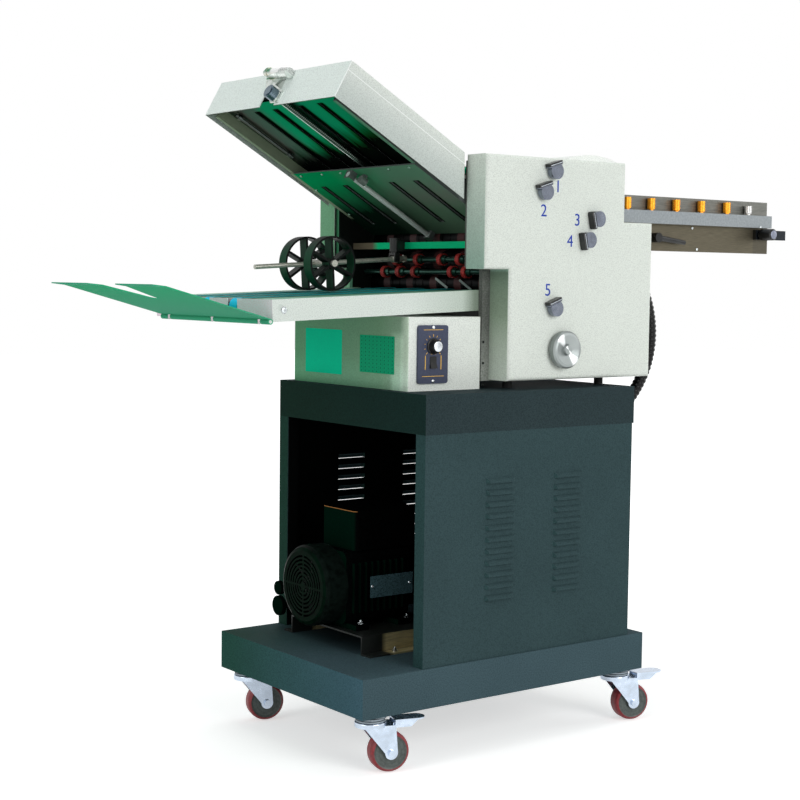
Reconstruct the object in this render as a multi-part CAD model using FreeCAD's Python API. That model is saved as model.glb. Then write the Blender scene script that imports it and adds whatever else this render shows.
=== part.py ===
import FreeCAD, Part
import math
import os

# A floor-standing buckle folding machine on a wheeled cabinet, in millimetres.
# +X points to the feed table, -X to the delivery tray, -Y to the operator, +Z up.
# The origin is on the floor below the middle of the machine.

V = FreeCAD.Vector
X_AXIS = V(1, 0, 0)
Y_AXIS = V(0, 1, 0)
Z_AXIS = V(0, 0, 1)
ORIGIN = V(0, 0, 0)

# ---- fits and sheet thicknesses ----
running_fit = 0.05          # radial clearance of a shaft in its bore
near_gap = 0.3              # clearance between parts that move past each other
sheet = 2.0                 # cabinet and tray sheet
cover_sheet = 1.5           # side cover, casing and plate sheet

# ---- stand ----
castor_height = 107.0       # floor to the underside of the plinth
plinth_left = -415.0
plinth_length = 695.0
plinth_near = -281.0
plinth_depth = 484.0
plinth_height = 73.0
plinth_wall = 3.0
plinth_flange = 76.0
castor_inset_x = 42.0
castor_inset_y = 34.0
castor_plate_side = 52.0
castor_plate_corner = 14.0
castor_plate_thickness = 4.0
raceway_radius = 27.0
raceway_thickness = 8.0
kingpin_radius = 6.0
fork_top_radius = 29.0
fork_top_thickness = 10.0
fork_cheek = 3.0
wheel_radius = 37.0
wheel_width = 32.0
wheel_hub_radius = 12.0
wheel_trail = 34.0
axle_radius = 4.0
castor_turn = -17.0         # degrees that the castors are swivelled to
pedal_width = 34.0
pedal_length = 44.0
pedal_sheet = 2.5
pedal_pin_radius = 2.5

# ---- cabinet ----
cabinet_from_plinth_left = 135.0
cabinet_length = 520.0
cabinet_from_plinth_near = 3.0
cabinet_depth = 481.0
cabinet_wall_height = 426.0
deck_height = 73.0
deck_overhang = 4.0
post_near = 28.0
post_far = 30.0
post_return = 25.0
louvre_rows = 11
louvre_pitch = 22.0
louvre_length = 71.0
louvre_reach = 6.0
louvre_height = 10.0
louvre_sheet = 1.2
louvre_bottom = 110.0       # lowest louvre above the cabinet's bottom edge
louvre_column_one = 178.5   # column centres from the cabinet's left edge
louvre_column_two = 348.0

# ---- vacuum pump ----
pump_y = 6.0
pump_axis_height = 115.5    # above the plinth
pump_left = -352.0
cowl_radius = 78.0
cowl_length = 52.0
cowl_sheet = 2.0
grille_rings = 7
fan_radius = 66.0
fan_blades = 6
fan_setback = 14.0
fan_length = 22.0
fan_hub_radius = 18.0
fan_blade = 3.0
fan_blade_twist = 25.0
pump_shaft_radius = 7.0
pump_block_length = 150.0
pump_block_half = 70.0
pump_rear_length = 70.0
pump_rear_radius = 62.0
pump_fins = 9
pump_fin_thickness = 3.0
pump_fin_reach = 8.0
terminal_box_length = 148.0
terminal_box_width = 110.0
terminal_box_height = 76.0
bracket_left = -308.0
bracket_near = -128.0
bracket_length = 210.0
bracket_depth = 240.0
bracket_height = 36.0
bracket_sheet = 3.0
bracket_toe = 26.0
filter_radius = 20.0
filter_length = 12.0
filter_out = 84.0
filter_pipe_radius = 7.0

# ---- control box ----
box_from_cabinet_left = 21.0
box_length = 172.5
box_near = -196.5
box_depth = 381.0
box_height = 137.0
panel_left_in_box = 19.0
panel_low_in_box = 14.0
panel_width = 70.0
panel_height = 108.0
panel_thickness = 5.0
speed_knob_radius = 13.0
speed_knob_length = 15.0
speed_knob_low = 69.0       # above the panel's bottom edge
rocker_low = 39.0
rocker_width = 15.0
rocker_height = 22.0
rocker_reach = 4.0
rocker_back = 0.9         # behind the panel's face
rocker_pin = 1.0

# ---- frame plates and covers ----
frame_foot_height = 15.0
frame_foot_radius = 9.0
foot_places = [-15.0, 228.0]
base_bar_width = 24.0
base_bar_height = 12.0
machine_mid_y = 21.0
frame_inner_width = 415.0
frame_plate = 10.0
frame_left_low = -85.0
frame_left_high = -121.0
frame_step_left = 230.0     # heights above the deck
frame_step_right = 323.0
fold_nip_height = 308.3     # above the deck
frame_head_room = 120.7     # above the upper fold plate's mouth
frame_height = fold_nip_height + frame_head_room
frame_right_low = 305.0
frame_right_high = 228.0
bearing_radius = 16.0
small_bearing_radius = 11.0
tie_radius = 8.0
cover_depth = 57.0
cover_left_low = -66.0
cover_left_high = -125.7
cover_step_left = 227.0
cover_right_low = 310.7
cover_right_high = 233.0
cover_step_right = 323.5
cover_bottom = 17.0
cover_top = 439.5
cover_corner = 7.0
hood_left = 90.0
hood_length = 190.0
hood_rise = 27.0
hood_fall = 18.0
cross_bar_x = -80.0
cross_bar_thickness = 8.0
cross_bar_width = 13.0
cross_bar_low = 267.0       # above the deck

# ---- rollers ----
fold_roller_radius = 22.5
fold_roller_pitch = 45.3
fold_nip_x = 3.2
fold_angle = 29.4           # slope of the upper fold plate, degrees
last_roller_swing = 10.0    # the fourth roller sits this far off plumb, degrees
journal_radius = 8.0
gear_width = 10.0
gear_teeth = 24
gear_tooth_height = 3.4
ring_count = 6
ring_pitch = 77.5
ring_width = 22.0
ring_groove = 0.8
delivery_x = -50.0
delivery_height = 233.7     # middle of the delivery nip above the deck
delivery_ring_radius = 12.0
delivery_ring_width = 11.0
delivery_shaft_radius = 5.0
delivery_teeth = 16
belt_roller_radius = 14.0
belt_roller_x = -53.0
belt_roller_height = 173.0
belt_journal_radius = 6.0
drive_x = 68.0
drive_height = 74.7
drive_shaft_radius = 8.0
hand_wheel_radius = 36.0
hand_wheel_depth = 20.0
drive_pulley_radius = 30.0
motor_x = 180.0
motor_height = 82.0
motor_radius = 45.0
motor_length = 160.0
motor_shaft_radius = 6.0
pulley_radius = 15.0
small_pulley_radius = 10.0
belt_pulley_radius = 8.0
pulley_width = 10.0
drive_belt_thickness = 2.5
suction_x = 250.0
suction_above_plate = 25.0   # over the feed plates' lower edge
suction_radius = 25.0

# ---- gap setting knobs: place on the cover, and the way each flat faces ----
gap_knob_radius = 15.5
gap_knob_depth = 11.0
gap_knob_flat = 9.0
gap_spindle_radius = 5.0
gap_knobs = [
    V(37.0, 414.0, 107.0),
    V(13.0, 374.0, 107.0),
    V(150.0, 327.0, 192.0),
    V(127.0, 286.0, 192.0),
    V(43.0, 154.0, 110.0),
]

# ---- upper fold plate, in its own frame: x along the plate, z square to it ----
plate_far_end = -470.0
plate_mouth = -34.0
plate_gap = 4.0
plate_sheet = 2.0
rail_width = 10.0
rail_low = -24.0
rail_high = 12.0
slot_width = 9.0
slot_offsets = [-109.0, -42.0, 42.0, 109.0]
slot_start = -446.0
slot_end = -120.0
throat_start = -267.0
throat_end = -27.0
throat_sheet = 3.0
guide_rod_start = -451.0
guide_rod_length = 152.0
throat_slot_offsets = [-153.0, -77.0, 77.0, 153.0]
throat_slot_start = -216.0
throat_slot_end = -70.0
screw_radius = 6.0
screw_y = -4.0
screw_low = -10.0
screw_end = -52.0
screw_lead = 8.0
screw_knob_radius = 13.0
screw_knob_length = 15.0
screw_knob_gap = 7.0
stop_rest = -238.0
stop_thickness = 14.0
stop_low = -21.0
stop_high = -4.3
stop_rod_gap = 7.0
casing_end = -485.0
casing_cut_x = -137.0
casing_overhang = 15.0      # past each frame plate's inner face
casing_spacers = [-440.0, -190.0]
casing_low = -27.0
casing_high = 48.0
lid_skirt = 18.0
strap_sheet = 3.5
barrel_radius = 10.0
barrel_drop = 6.0
barrel_tilt = 6.5
notch_near = -4.0
notch_far = 46.0

# ---- lower fold plate ----
lower_plate_start = 22.0
lower_plate_length = 184.0
lower_rail_height = 18.0

# ---- delivery table, in its own frame: top edge level, then tipped ----
table_tilt = 2.36
table_right_x = -65.0
table_top_height = 188.3
table_length = 484.0
table_depth_z = 39.0
table_flange = 30.0
table_frame_reach = 8.0     # how far the rails run in between the frame plates
tail_inset = 17.0
bed_below = 1.9            # the belts run over the bed
belt_window = 32.0         # depth of the gap the belts pass in the table's end
belt_width = 26.0
belt_thickness = 1.5
belt_places = [-74.0, 22.0, 118.0]
belt_proud = 1.0
hinge_drop = 38.0
hinge_reach = 6.0
hinge_pin_radius = 3.0
hinge_barrel_radius = 5.0
hinge_ear = 8.0
hinge_ear_spread = 160.0
tray_tilt = 15.1
tray_length = 238.0
tray_width = 383.0
tray_lip = 26.0
tray_lip_bend = 9.0
tray_near = -189.0
tray_slot_middle = -4.0
tray_slot_mouth = 56.0
tray_slot_root = 17.0
tray_slot_depth = 113.0

# ---- press arm ----
arm_y = 61.0
arm_pivot_x = -101.0
arm_pivot_height = 246.0
arm_radius = 4.5
arm_length = 330.0
arm_droop = 3.5
arm_eye_radius = 7.0
arm_eye_width = 14.0
press_axle_back = 187.5     # from the pivot along the arm
press_wheel_radius = 52.5
press_wheel_width = 24.0
press_wheel_offset = 43.0
press_spokes = 6
spoke_phase = 30.0          # degrees
spoke_thickness = 5.0
spoke_inset = 1.0           # from the rim's two faces
press_rim = 4.0
press_axle_radius = 4.0
clamp_width = 24.0
clamp_knob_radius = 10.0

# ---- feed table ----
feed_right = 737.0
feed_plate_low = 271.0      # heights above the deck
feed_plate_high = 326.5
suction_height = feed_plate_low + suction_above_plate
feed_plate_thickness = 8.0
rail_top = 353.0
feed_rail_thickness = 22.0
feed_rail_right = 734.0
back_strip_top = 383.0
back_strip_thickness = 5.0
feed_left = 200.0
feed_rail_left = 236.0
bed_height = 322.0
bed_left = 292.0
register_left = 60.0
register_right = 214.0
register_height = 309.0
thumb_places = [299.0, 368.0, 442.0, 518.0, 597.5]
thumb_radius = 8.0
thumb_height = 25.0
small_thumb_x = 666.0
small_thumb_radius = 8.0
small_thumb_height = 20.0
lever_x = 382.0
lever_height = feed_plate_low + 27.0
lever_hub_radius = 10.0
lever_hub_depth = 16.0
lever_length = 82.0
lever_droop = 6.0
guide_x = 707.0
guide_height = 312.0
guide_knob_radius = 12.5
guide_knob_length = 35.0
guide_block_left = 690.0
guide_block_right = 788.0
guide_block_thickness = 8.0
guide_block_height = 21.0

# ---- hose ----
hose_radius = 12.5
hose_route = [
    V(302.0, -160.0, 938.0),
    V(341.0, -162.0, 915.0),
    V(374.0, -164.0, 876.0),
    V(394.0, -166.0, 828.0),
    V(401.0, -167.0, 775.0),
    V(394.0, -166.0, 722.0),
    V(374.0, -163.0, 675.0),
    V(343.0, -160.0, 636.0),
    V(305.0, -157.0, 606.0),
    V(263.0, -155.0, 590.0),
]
hose_socket_radius = 16.0
hose_socket_length = 22.0

# ---- places worked out from the sizes above ----
plinth_top = castor_height + plinth_height
cabinet_left = plinth_left + cabinet_from_plinth_left
cabinet_right = cabinet_left + cabinet_length
cabinet_near = plinth_near + cabinet_from_plinth_near
cabinet_far = cabinet_near + cabinet_depth
deck_bottom = plinth_top + cabinet_wall_height
deck_top = deck_bottom + deck_height
near_inner = machine_mid_y - frame_inner_width / 2
far_inner = machine_mid_y + frame_inner_width / 2
near_outer = near_inner - frame_plate
far_outer = far_inner + frame_plate
fold_nip = V(fold_nip_x, 0, deck_top + fold_nip_height)
fold_rad = math.radians(fold_angle)
fold_normal = V(math.sin(fold_rad), 0, math.cos(fold_rad))
roller_one = fold_nip + fold_normal * (fold_roller_pitch / 2)
roller_two = fold_nip - fold_normal * (fold_roller_pitch / 2)
roller_three = roller_two - Z_AXIS * fold_roller_pitch
swing = math.radians(last_roller_swing)
roller_four = roller_three + V(-math.sin(swing), 0, -math.cos(swing)) * fold_roller_pitch
delivery_centre = 2 * delivery_ring_radius + 2 * near_gap
delivery_upper = V(delivery_x, 0, deck_top + delivery_height + delivery_centre / 2)
delivery_lower = V(delivery_x, 0, deck_top + delivery_height - delivery_centre / 2)
belt_roller = V(belt_roller_x, 0, deck_top + belt_roller_height)
drive_axis = V(drive_x, 0, deck_top + drive_height)
motor_axis = V(motor_x, 0, deck_top + motor_height)
suction_axis = V(suction_x, 0, deck_top + suction_height)
table_corner = V(table_right_x, 0, deck_top + table_top_height)


# ---- helpers ----
def block(x0, x1, y0, y1, z0, z1):
    return Part.makeBox(x1 - x0, y1 - y0, z1 - z0, V(x0, y0, z0))


def cylinder(radius, start, direction, length):
    return Part.makeCylinder(radius, length, start, direction)


def bar_y(radius, axis, y0, y1):
    """Round bar along Y through the X and Z of axis."""
    return cylinder(radius, V(axis.x, y0, axis.z), Y_AXIS, y1 - y0)


def slab_y(corners, y0, y1):
    """Outline of (x, z) corners, drawn out from y0 to y1."""
    points = [V(x, y0, z) for x, z in corners]
    face = Part.Face(Part.makePolygon(points + points[:1]))
    return face.extrude(V(0, y1 - y0, 0))


def turned_y(profile, axis, y0):
    """Revolve (radius, distance) corners about a Y line through axis, from y0."""
    points = [V(axis.x + r, y0 + d, axis.z) for r, d in profile]
    face = Part.Face(Part.makePolygon(points + points[:1]))
    return face.revolve(V(axis.x, 0, axis.z), Y_AXIS, 360)


def round_edges(shape, direction, radius):
    """Fillet the straight edges that run along direction."""
    chosen = [edge for edge in shape.Edges
              if edge.Curve.TypeId == "Part::GeomLine"
              and abs(edge.tangentAt(edge.FirstParameter).dot(direction)) > 0.99]
    return shape.makeFillet(radius, chosen)


def join(parts):
    return parts[0].fuse(parts[1:]).removeSplitter()


def group(parts):
    return Part.makeCompound(parts)


def tipped(shape, degrees, place):
    """Turn a shape made at the origin about Y, then carry it to its place."""
    moved = shape.copy()
    moved.rotate(ORIGIN, Y_AXIS, degrees)
    moved.translate(place)
    return moved


def on_fold_plate(shape):
    return tipped(shape, fold_angle, fold_nip)


def on_table(shape):
    return tipped(shape, -table_tilt, table_corner)


def castor_places():
    right = plinth_left + plinth_length - castor_inset_x
    far = plinth_near + plinth_depth - castor_inset_y
    left = plinth_left + castor_inset_x
    near = plinth_near + castor_inset_y
    return [V(left, near, 0), V(right, near, 0), V(left, far, 0), V(right, far, 0)]


def on_castor(shape, place):
    moved = shape.copy()
    moved.rotate(ORIGIN, Z_AXIS, castor_turn)
    moved.translate(place)
    return moved


# ---- stand ----
def plinth():
    x1 = plinth_left + plinth_length
    y1 = plinth_near + plinth_depth
    tray = block(plinth_left, x1, plinth_near, y1, castor_height, plinth_top)
    tray = tray.cut(block(plinth_left + plinth_wall, x1 - plinth_wall,
                          plinth_near + plinth_wall, y1 - plinth_wall,
                          castor_height + plinth_wall, plinth_top - plinth_wall))
    tray = tray.cut(block(plinth_left + plinth_flange, x1 - plinth_flange,
                          plinth_near + plinth_flange, y1 - plinth_flange,
                          castor_height, castor_height + plinth_wall))
    return group([tray] + [castor_plate(place) for place in castor_places()])


def castor_plate(place):
    top = castor_height
    low = top - castor_plate_thickness
    half = castor_plate_side / 2
    plate = block(-half, half, -half, half, low, top)
    plate = round_edges(plate, Z_AXIS, castor_plate_corner)
    race = cylinder(raceway_radius, V(0, 0, low - raceway_thickness), Z_AXIS, raceway_thickness)
    pin_low = fork_top_low() - near_gap
    pin = cylinder(kingpin_radius, V(0, 0, pin_low), Z_AXIS, low - pin_low)
    head = cylinder(kingpin_radius + 3, V(0, 0, pin_low - 3), Z_AXIS, 3)
    return on_castor(join([plate, race, pin, head]), place)


def fork_top_low():
    return castor_height - castor_plate_thickness - raceway_thickness - near_gap - fork_top_thickness


def castor_fork(place):
    low = fork_top_low()
    top = cylinder(fork_top_radius, V(0, 0, low), Z_AXIS, fork_top_thickness)
    top = top.makeFillet(3, top.Edges[0])
    inner = wheel_width / 2 + 2
    bridge_left = -raceway_radius + 8
    bridge_right = fork_bridge_end()
    bridge = block(bridge_left, bridge_right, -inner - fork_cheek, inner + fork_cheek,
                   low, low + fork_cheek)
    body = join([top, bridge])
    for side in (-1, 1):
        y0 = min(side * inner, side * (inner + fork_cheek))
        corners = [(bridge_left, low + fork_cheek), (bridge_right, low + fork_cheek),
                   (wheel_trail + 12, wheel_radius), (wheel_trail - 12, wheel_radius)]
        cheek = slab_y(corners, y0, y0 + fork_cheek)
        boss = bar_y(12, V(wheel_trail, 0, wheel_radius), y0, y0 + fork_cheek)
        nut = bar_y(6.5, V(wheel_trail, 0, wheel_radius),
                    min(side * (inner + fork_cheek), side * (inner + fork_cheek + 5)),
                    max(side * (inner + fork_cheek), side * (inner + fork_cheek + 5)))
        body = body.fuse([cheek, boss, nut])
    body = body.cut(cylinder(kingpin_radius + running_fit, V(0, 0, 0), Z_AXIS, castor_height))
    axle = bar_y(axle_radius, V(wheel_trail, 0, wheel_radius), -inner, inner)
    lug_half = pedal_width / 2 - pedal_sheet - 2
    lug = block(bridge_right - 2, bridge_right + 9, -lug_half, lug_half, low, low + 6)
    hinge = bar_y(pedal_pin_radius, pedal_pin(), -pedal_width / 2, pedal_width / 2)
    return on_castor(join([body, axle, lug, hinge]), place)


def fork_bridge_end():
    return wheel_trail + 8


def pedal_pin():
    return V(fork_bridge_end() + 5, 0, fork_top_low() + 3)


def castor_wheel(place):
    half = wheel_width / 2
    hub = half + 1.6
    profile = [(axle_radius + running_fit, -hub), (wheel_hub_radius, -hub),
               (wheel_hub_radius, -half + 2), (wheel_radius - 9, -half + 2),
               (wheel_radius - 5, -half), (wheel_radius - 1.5, -half + 3),
               (wheel_radius, -half + 8), (wheel_radius, half - 8),
               (wheel_radius - 1.5, half - 3), (wheel_radius - 5, half),
               (wheel_radius - 9, half - 2), (wheel_hub_radius, half - 2),
               (wheel_hub_radius, hub), (axle_radius + running_fit, hub)]
    wheel = turned_y(profile, V(wheel_trail, 0, wheel_radius), 0)
    return on_castor(wheel, place)


def brake_pedal(place):
    low = fork_top_low() + fork_top_thickness - 1
    start = fork_bridge_end() + near_gap
    half = pedal_width / 2
    tread = block(start, start + pedal_length, -half, half, low, low + pedal_sheet)
    parts = [tread, cylinder(half, V(start + pedal_length, 0, low), Z_AXIS, pedal_sheet)]
    for y0 in (-half, half - pedal_sheet):
        corners = [(start, low), (start + pedal_length, low), (start + 30, low - 12),
                   (start, low - 12)]
        parts.append(slab_y(corners, y0, y0 + pedal_sheet))
    pedal = join(parts).cut(bar_y(pedal_pin_radius + running_fit, pedal_pin(), -half, half))
    return on_castor(pedal, place)


# ---- cabinet ----
def cabinet_body():
    front = block(cabinet_left, cabinet_left + sheet, cabinet_near, cabinet_far,
                  plinth_top, deck_bottom)
    front = front.cut(block(cabinet_left, cabinet_left + sheet, cabinet_near + post_near,
                            cabinet_far - post_far, plinth_top, deck_bottom))
    inner_near = cabinet_near + post_near
    inner_far = cabinet_far - post_far
    returns = [block(cabinet_left + sheet, cabinet_left + post_return, inner_near - sheet,
                     inner_near, plinth_top, deck_bottom),
               block(cabinet_left + sheet, cabinet_left + post_return, inner_far,
                     inner_far + sheet, plinth_top, deck_bottom)]
    left_post = front.common(block(cabinet_left, cabinet_left + sheet, cabinet_near,
                                   inner_near, plinth_top, deck_bottom))
    right_post = front.common(block(cabinet_left, cabinet_left + sheet, inner_far,
                                    cabinet_far, plinth_top, deck_bottom))
    back = block(cabinet_right - sheet, cabinet_right, cabinet_near, cabinet_far,
                 plinth_top, deck_bottom)
    tip = hose_route[-1]
    back = back.cut(cylinder(hose_radius + 6, V(cabinet_right - 2 * sheet, tip.y, tip.z - 8),
                             X_AXIS, 4 * sheet))
    return group([join([left_post, returns[0]]), join([right_post, returns[1]]), back,
                  bulkhead()])


def bulkhead():
    tip = hose_route[-1]
    flange = cylinder(hose_radius + 11, V(cabinet_right, tip.y, tip.z - 8), X_AXIS, 3)
    along = hose_route[-1] - hose_route[-2]
    along.normalize()
    socket = cylinder(hose_socket_radius, tip, along, hose_socket_length + 8)
    beyond = block(cabinet_right - 60, cabinet_right, tip.y - 60, tip.y + 60,
                   tip.z - 80, tip.z + 80)
    return join([flange, socket.cut(beyond)])


def louvre(outer):
    """One louvre's solid above its panel: a curved hood with slanted ends."""
    drop = 0 if outer else louvre_sheet
    centre_depth = (louvre_reach ** 2 - louvre_height ** 2) / (2 * louvre_reach)
    radius = louvre_reach - centre_depth - drop
    half = louvre_length / 2 - drop
    reach = louvre_reach + 1
    hood = cylinder(radius, V(-half, -centre_depth, 0), X_AXIS, 2 * half)
    low = 0 if outer else -1
    corners = [V(-half, 0, low), V(half, 0, low), V(half - reach, -reach, low),
               V(-half + reach, -reach, low)]
    wedge = Part.Face(Part.makePolygon(corners + corners[:1]))
    wedge = wedge.extrude(V(0, 0, louvre_height + 2))
    return hood.common(wedge)


def louvred_panel(face_y, outward):
    """Side panel whose outer face is at face_y; outward is -1 or 1 along Y."""
    y_back = face_y - outward * sheet
    panel = block(cabinet_left + sheet, cabinet_right - sheet, min(face_y, y_back),
                  max(face_y, y_back), plinth_top, deck_bottom)
    hoods = []
    holes = []
    for column in (louvre_column_one, louvre_column_two):
        for row in range(louvre_rows):
            place = V(cabinet_left + column, face_y,
                      plinth_top + louvre_bottom + row * louvre_pitch)
            outer = louvre(True)
            inner = louvre(False)
            hood = outer.cut(inner)
            if outward > 0:
                hood = hood.mirror(ORIGIN, Y_AXIS)
            hood.translate(place)
            hoods.append(hood)
            half = louvre_length / 2 - louvre_sheet
            y_far = face_y - outward * sheet
            holes.append(block(place.x - half, place.x + half, min(face_y, y_far),
                               max(face_y, y_far), place.z, place.z + louvre_height - louvre_sheet))
    panel = panel.cut(Part.makeCompound(holes))
    return panel.fuse(hoods)


def cabinet_deck():
    right = cabinet_right + deck_overhang
    deck = block(cabinet_left, right, cabinet_near, cabinet_far, deck_bottom, deck_top)
    return deck.cut(block(cabinet_left + sheet, right - sheet, cabinet_near + sheet,
                          cabinet_far - sheet, deck_bottom, deck_top - sheet))


# ---- vacuum pump ----
def pump_axis():
    return V(0, pump_y, plinth_top + pump_axis_height)


def turned_x(profile, y, z):
    """Revolve (x, radius) corners about the X line through y and z."""
    points = [V(x, y, z + r) for x, r in profile]
    face = Part.Face(Part.makePolygon(points + points[:1]))
    return face.revolve(V(0, y, z), X_AXIS, 360)


def fan_cowl():
    axis = pump_axis()
    x1 = pump_left + cowl_length
    bend = 10
    shell = turned_x([(pump_left, 0), (pump_left, cowl_radius - bend),
                      (pump_left + 3, cowl_radius - 4), (pump_left + bend, cowl_radius),
                      (x1, cowl_radius), (x1, cowl_radius - cowl_sheet),
                      (pump_left + bend, cowl_radius - cowl_sheet),
                      (pump_left + cowl_sheet, cowl_radius - bend),
                      (pump_left + cowl_sheet, 0)], axis.y, axis.z)
    slots = []
    step = (cowl_radius - 24) / grille_rings
    for ring in range(grille_rings):
        r0 = 9 + ring * step
        ring_cut = turned_x([(pump_left - 1, r0), (pump_left - 1, r0 + step / 2),
                             (pump_left + cowl_sheet + 1, r0 + step / 2),
                             (pump_left + cowl_sheet + 1, r0)], axis.y, axis.z)
        slots.append(ring_cut)
    spokes = [block(pump_left - 2, pump_left + cowl_sheet + 2, axis.y - cowl_radius,
                    axis.y + cowl_radius, axis.z - 2, axis.z + 2),
              block(pump_left - 2, pump_left + cowl_sheet + 2, axis.y - 2, axis.y + 2,
                    axis.z - cowl_radius, axis.z + cowl_radius)]
    cut = Part.makeCompound(slots).cut(spokes[0].fuse(spokes[1]))
    return shell.cut(cut)


def pump_fan():
    axis = pump_axis()
    x0 = pump_left + fan_setback
    x1 = x0 + fan_length
    hub = turned_x([(x0, pump_shaft_radius + running_fit), (x0, fan_hub_radius),
                    (x1, fan_hub_radius), (x1, pump_shaft_radius + running_fit)],
                   axis.y, axis.z)
    blades = []
    for index in range(fan_blades):
        blade = block(x0 + 2, x1 - 2, -fan_blade / 2, fan_blade / 2, fan_hub_radius - 3,
                      fan_radius)
        blade.rotate(V((x0 + x1) / 2, 0, 0), Z_AXIS, fan_blade_twist)
        blade.rotate(ORIGIN, X_AXIS, index * 360.0 / fan_blades)
        blade.translate(V(0, axis.y, axis.z))
        blades.append(blade)
    bore = cylinder(pump_shaft_radius + running_fit, V(x0 - 5, axis.y, axis.z), X_AXIS,
                    fan_length + 10)
    return hub.fuse(blades).cut(bore).removeSplitter()


def pump_body():
    axis = pump_axis()
    x0 = pump_left + cowl_length
    x1 = x0 + pump_block_length
    foot_top = plinth_top + bracket_height
    h = pump_block_half
    casting = block(x0, x1, axis.y - h, axis.y + h, axis.z - h, axis.z + h)
    casting = round_edges(casting, X_AXIS, 16)
    lip = turned_x([(x0 - 6, pump_shaft_radius), (x0 - 6, cowl_radius - cowl_sheet),
                    (x0, cowl_radius - cowl_sheet), (x0, pump_shaft_radius)], axis.y, axis.z)
    shaft = cylinder(pump_shaft_radius, V(pump_left + fan_setback - 2, axis.y, axis.z), X_AXIS,
                     cowl_length)
    rear = cylinder(pump_rear_radius, V(x1, axis.y, axis.z), X_AXIS, pump_rear_length)
    body = join([casting, lip, shaft, rear])
    fins = []
    pitch = (pump_block_length - 20) / pump_fins
    for index in range(pump_fins):
        fx = x0 + 14 + index * pitch
        reach = h + pump_fin_reach
        fins.append(block(fx, fx + pump_fin_thickness, axis.y - reach, axis.y + reach,
                          axis.z - h + 22, axis.z + h - 22))
    body = body.fuse(fins)
    feet = [block(x0 + 10, x0 + 40, axis.y - h - 20, axis.y + h + 20, foot_top, axis.z - h + 1),
            block(x1 - 40, x1 - 10, axis.y - h - 20, axis.y + h + 20, foot_top, axis.z - h + 1)]
    body = body.fuse(feet).removeSplitter()
    top = axis.z + h
    box = block(x0 + 22, x0 + 22 + terminal_box_length, axis.y - terminal_box_width / 2 - 11,
                axis.y + terminal_box_width / 2 - 11, top, top + terminal_box_height)
    box = round_edges(box, Z_AXIS, 8)
    body = body.fuse(inlet_filters())
    return group([body, box])


def inlet_filters():
    """Two ribbed filters on pipes that leave the pump's far side, clear of the post."""
    axis = pump_axis()
    pipe_x = cabinet_left - filter_pipe_radius - 3
    front = pipe_x - filter_pipe_radius - 4 - filter_length
    y = axis.y + pump_block_half + filter_out
    parts = []
    for drop, radius in ((69, filter_radius), (33, filter_radius - 6)):
        z = axis.z - drop
        parts.append(bar_y(filter_pipe_radius, V(pipe_x, 0, z), axis.y + pump_block_half - 5, y))
        profile = [(front, 0), (front, radius - 5), (front + 2, radius - 1)]
        for index in range(3):
            low = front + 3 + index * 3
            profile += [(low, radius), (low + 2, radius), (low + 2.5, radius - 2)]
        profile += [(front + filter_length, filter_pipe_radius), (pipe_x, filter_pipe_radius),
                    (pipe_x, 0)]
        parts.append(turned_x(profile, y, z))
    return parts


def pump_bracket():
    x0, x1 = bracket_left, bracket_left + bracket_length
    y0, y1 = bracket_near, bracket_near + bracket_depth
    low, high = plinth_top, plinth_top + bracket_height
    top = block(x0, x1, y0, y1, high - bracket_sheet, high)
    webs = [block(x0, x1, y0, y0 + bracket_sheet, low, high),
            block(x0, x1, y1 - bracket_sheet, y1, low, high)]
    toes = [block(x0, x1, y0 - bracket_toe, y0, low, low + bracket_sheet),
            block(x0, x1, y1, y1 + bracket_toe, low, low + bracket_sheet)]
    return join([top] + webs + toes)


# ---- control box ----
def box_left():
    return cabinet_left + box_from_cabinet_left


def electrical_box():
    x0, x1 = box_left(), box_left() + box_length
    y0, y1 = box_near, box_near + box_depth
    shell = block(x0, x1, y0, y1, deck_top, deck_top + box_height)
    shell = round_edges(shell, Z_AXIS, 4)
    return shell.cut(block(x0 + sheet, x1 - sheet, y0 + sheet, y1 - sheet, deck_top,
                           deck_top + box_height - sheet))


def panel_corner():
    return V(box_left() + panel_left_in_box, box_near, deck_top + panel_low_in_box)


def speed_knob_axis():
    corner = panel_corner()
    return V(corner.x + panel_width / 2, 0, corner.z + speed_knob_low)


def rocker_axis():
    corner = panel_corner()
    return V(corner.x + panel_width / 2, 0, corner.z + rocker_low)


def speed_panel():
    corner = panel_corner()
    y0 = corner.y - panel_thickness
    plate = block(corner.x, corner.x + panel_width, y0, corner.y, corner.z,
                  corner.z + panel_height)
    plate = round_edges(plate, Y_AXIS, 5)
    spindle = bar_y(3, speed_knob_axis(), y0 - 10, y0)
    well = rocker_axis()
    half_w = rocker_width / 2 + near_gap
    half_h = rocker_height / 2 + near_gap
    plate = plate.cut(block(well.x - half_w, well.x + half_w, y0, corner.y - 1,
                            well.z - half_h, well.z + half_h))
    return join([plate, spindle])


def speed_knob():
    axis = speed_knob_axis()
    face = panel_corner().y - panel_thickness - near_gap
    bore = 3 + running_fit
    profile = [(bore, 0), (speed_knob_radius + 2, 0), (speed_knob_radius + 2, -2),
               (speed_knob_radius, -3), (speed_knob_radius - 1.5, -speed_knob_length + 1),
               (speed_knob_radius - 3, -speed_knob_length), (0, -speed_knob_length),
               (0, -12), (bore, -12)]
    return turned_y(profile, axis, face)


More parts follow.
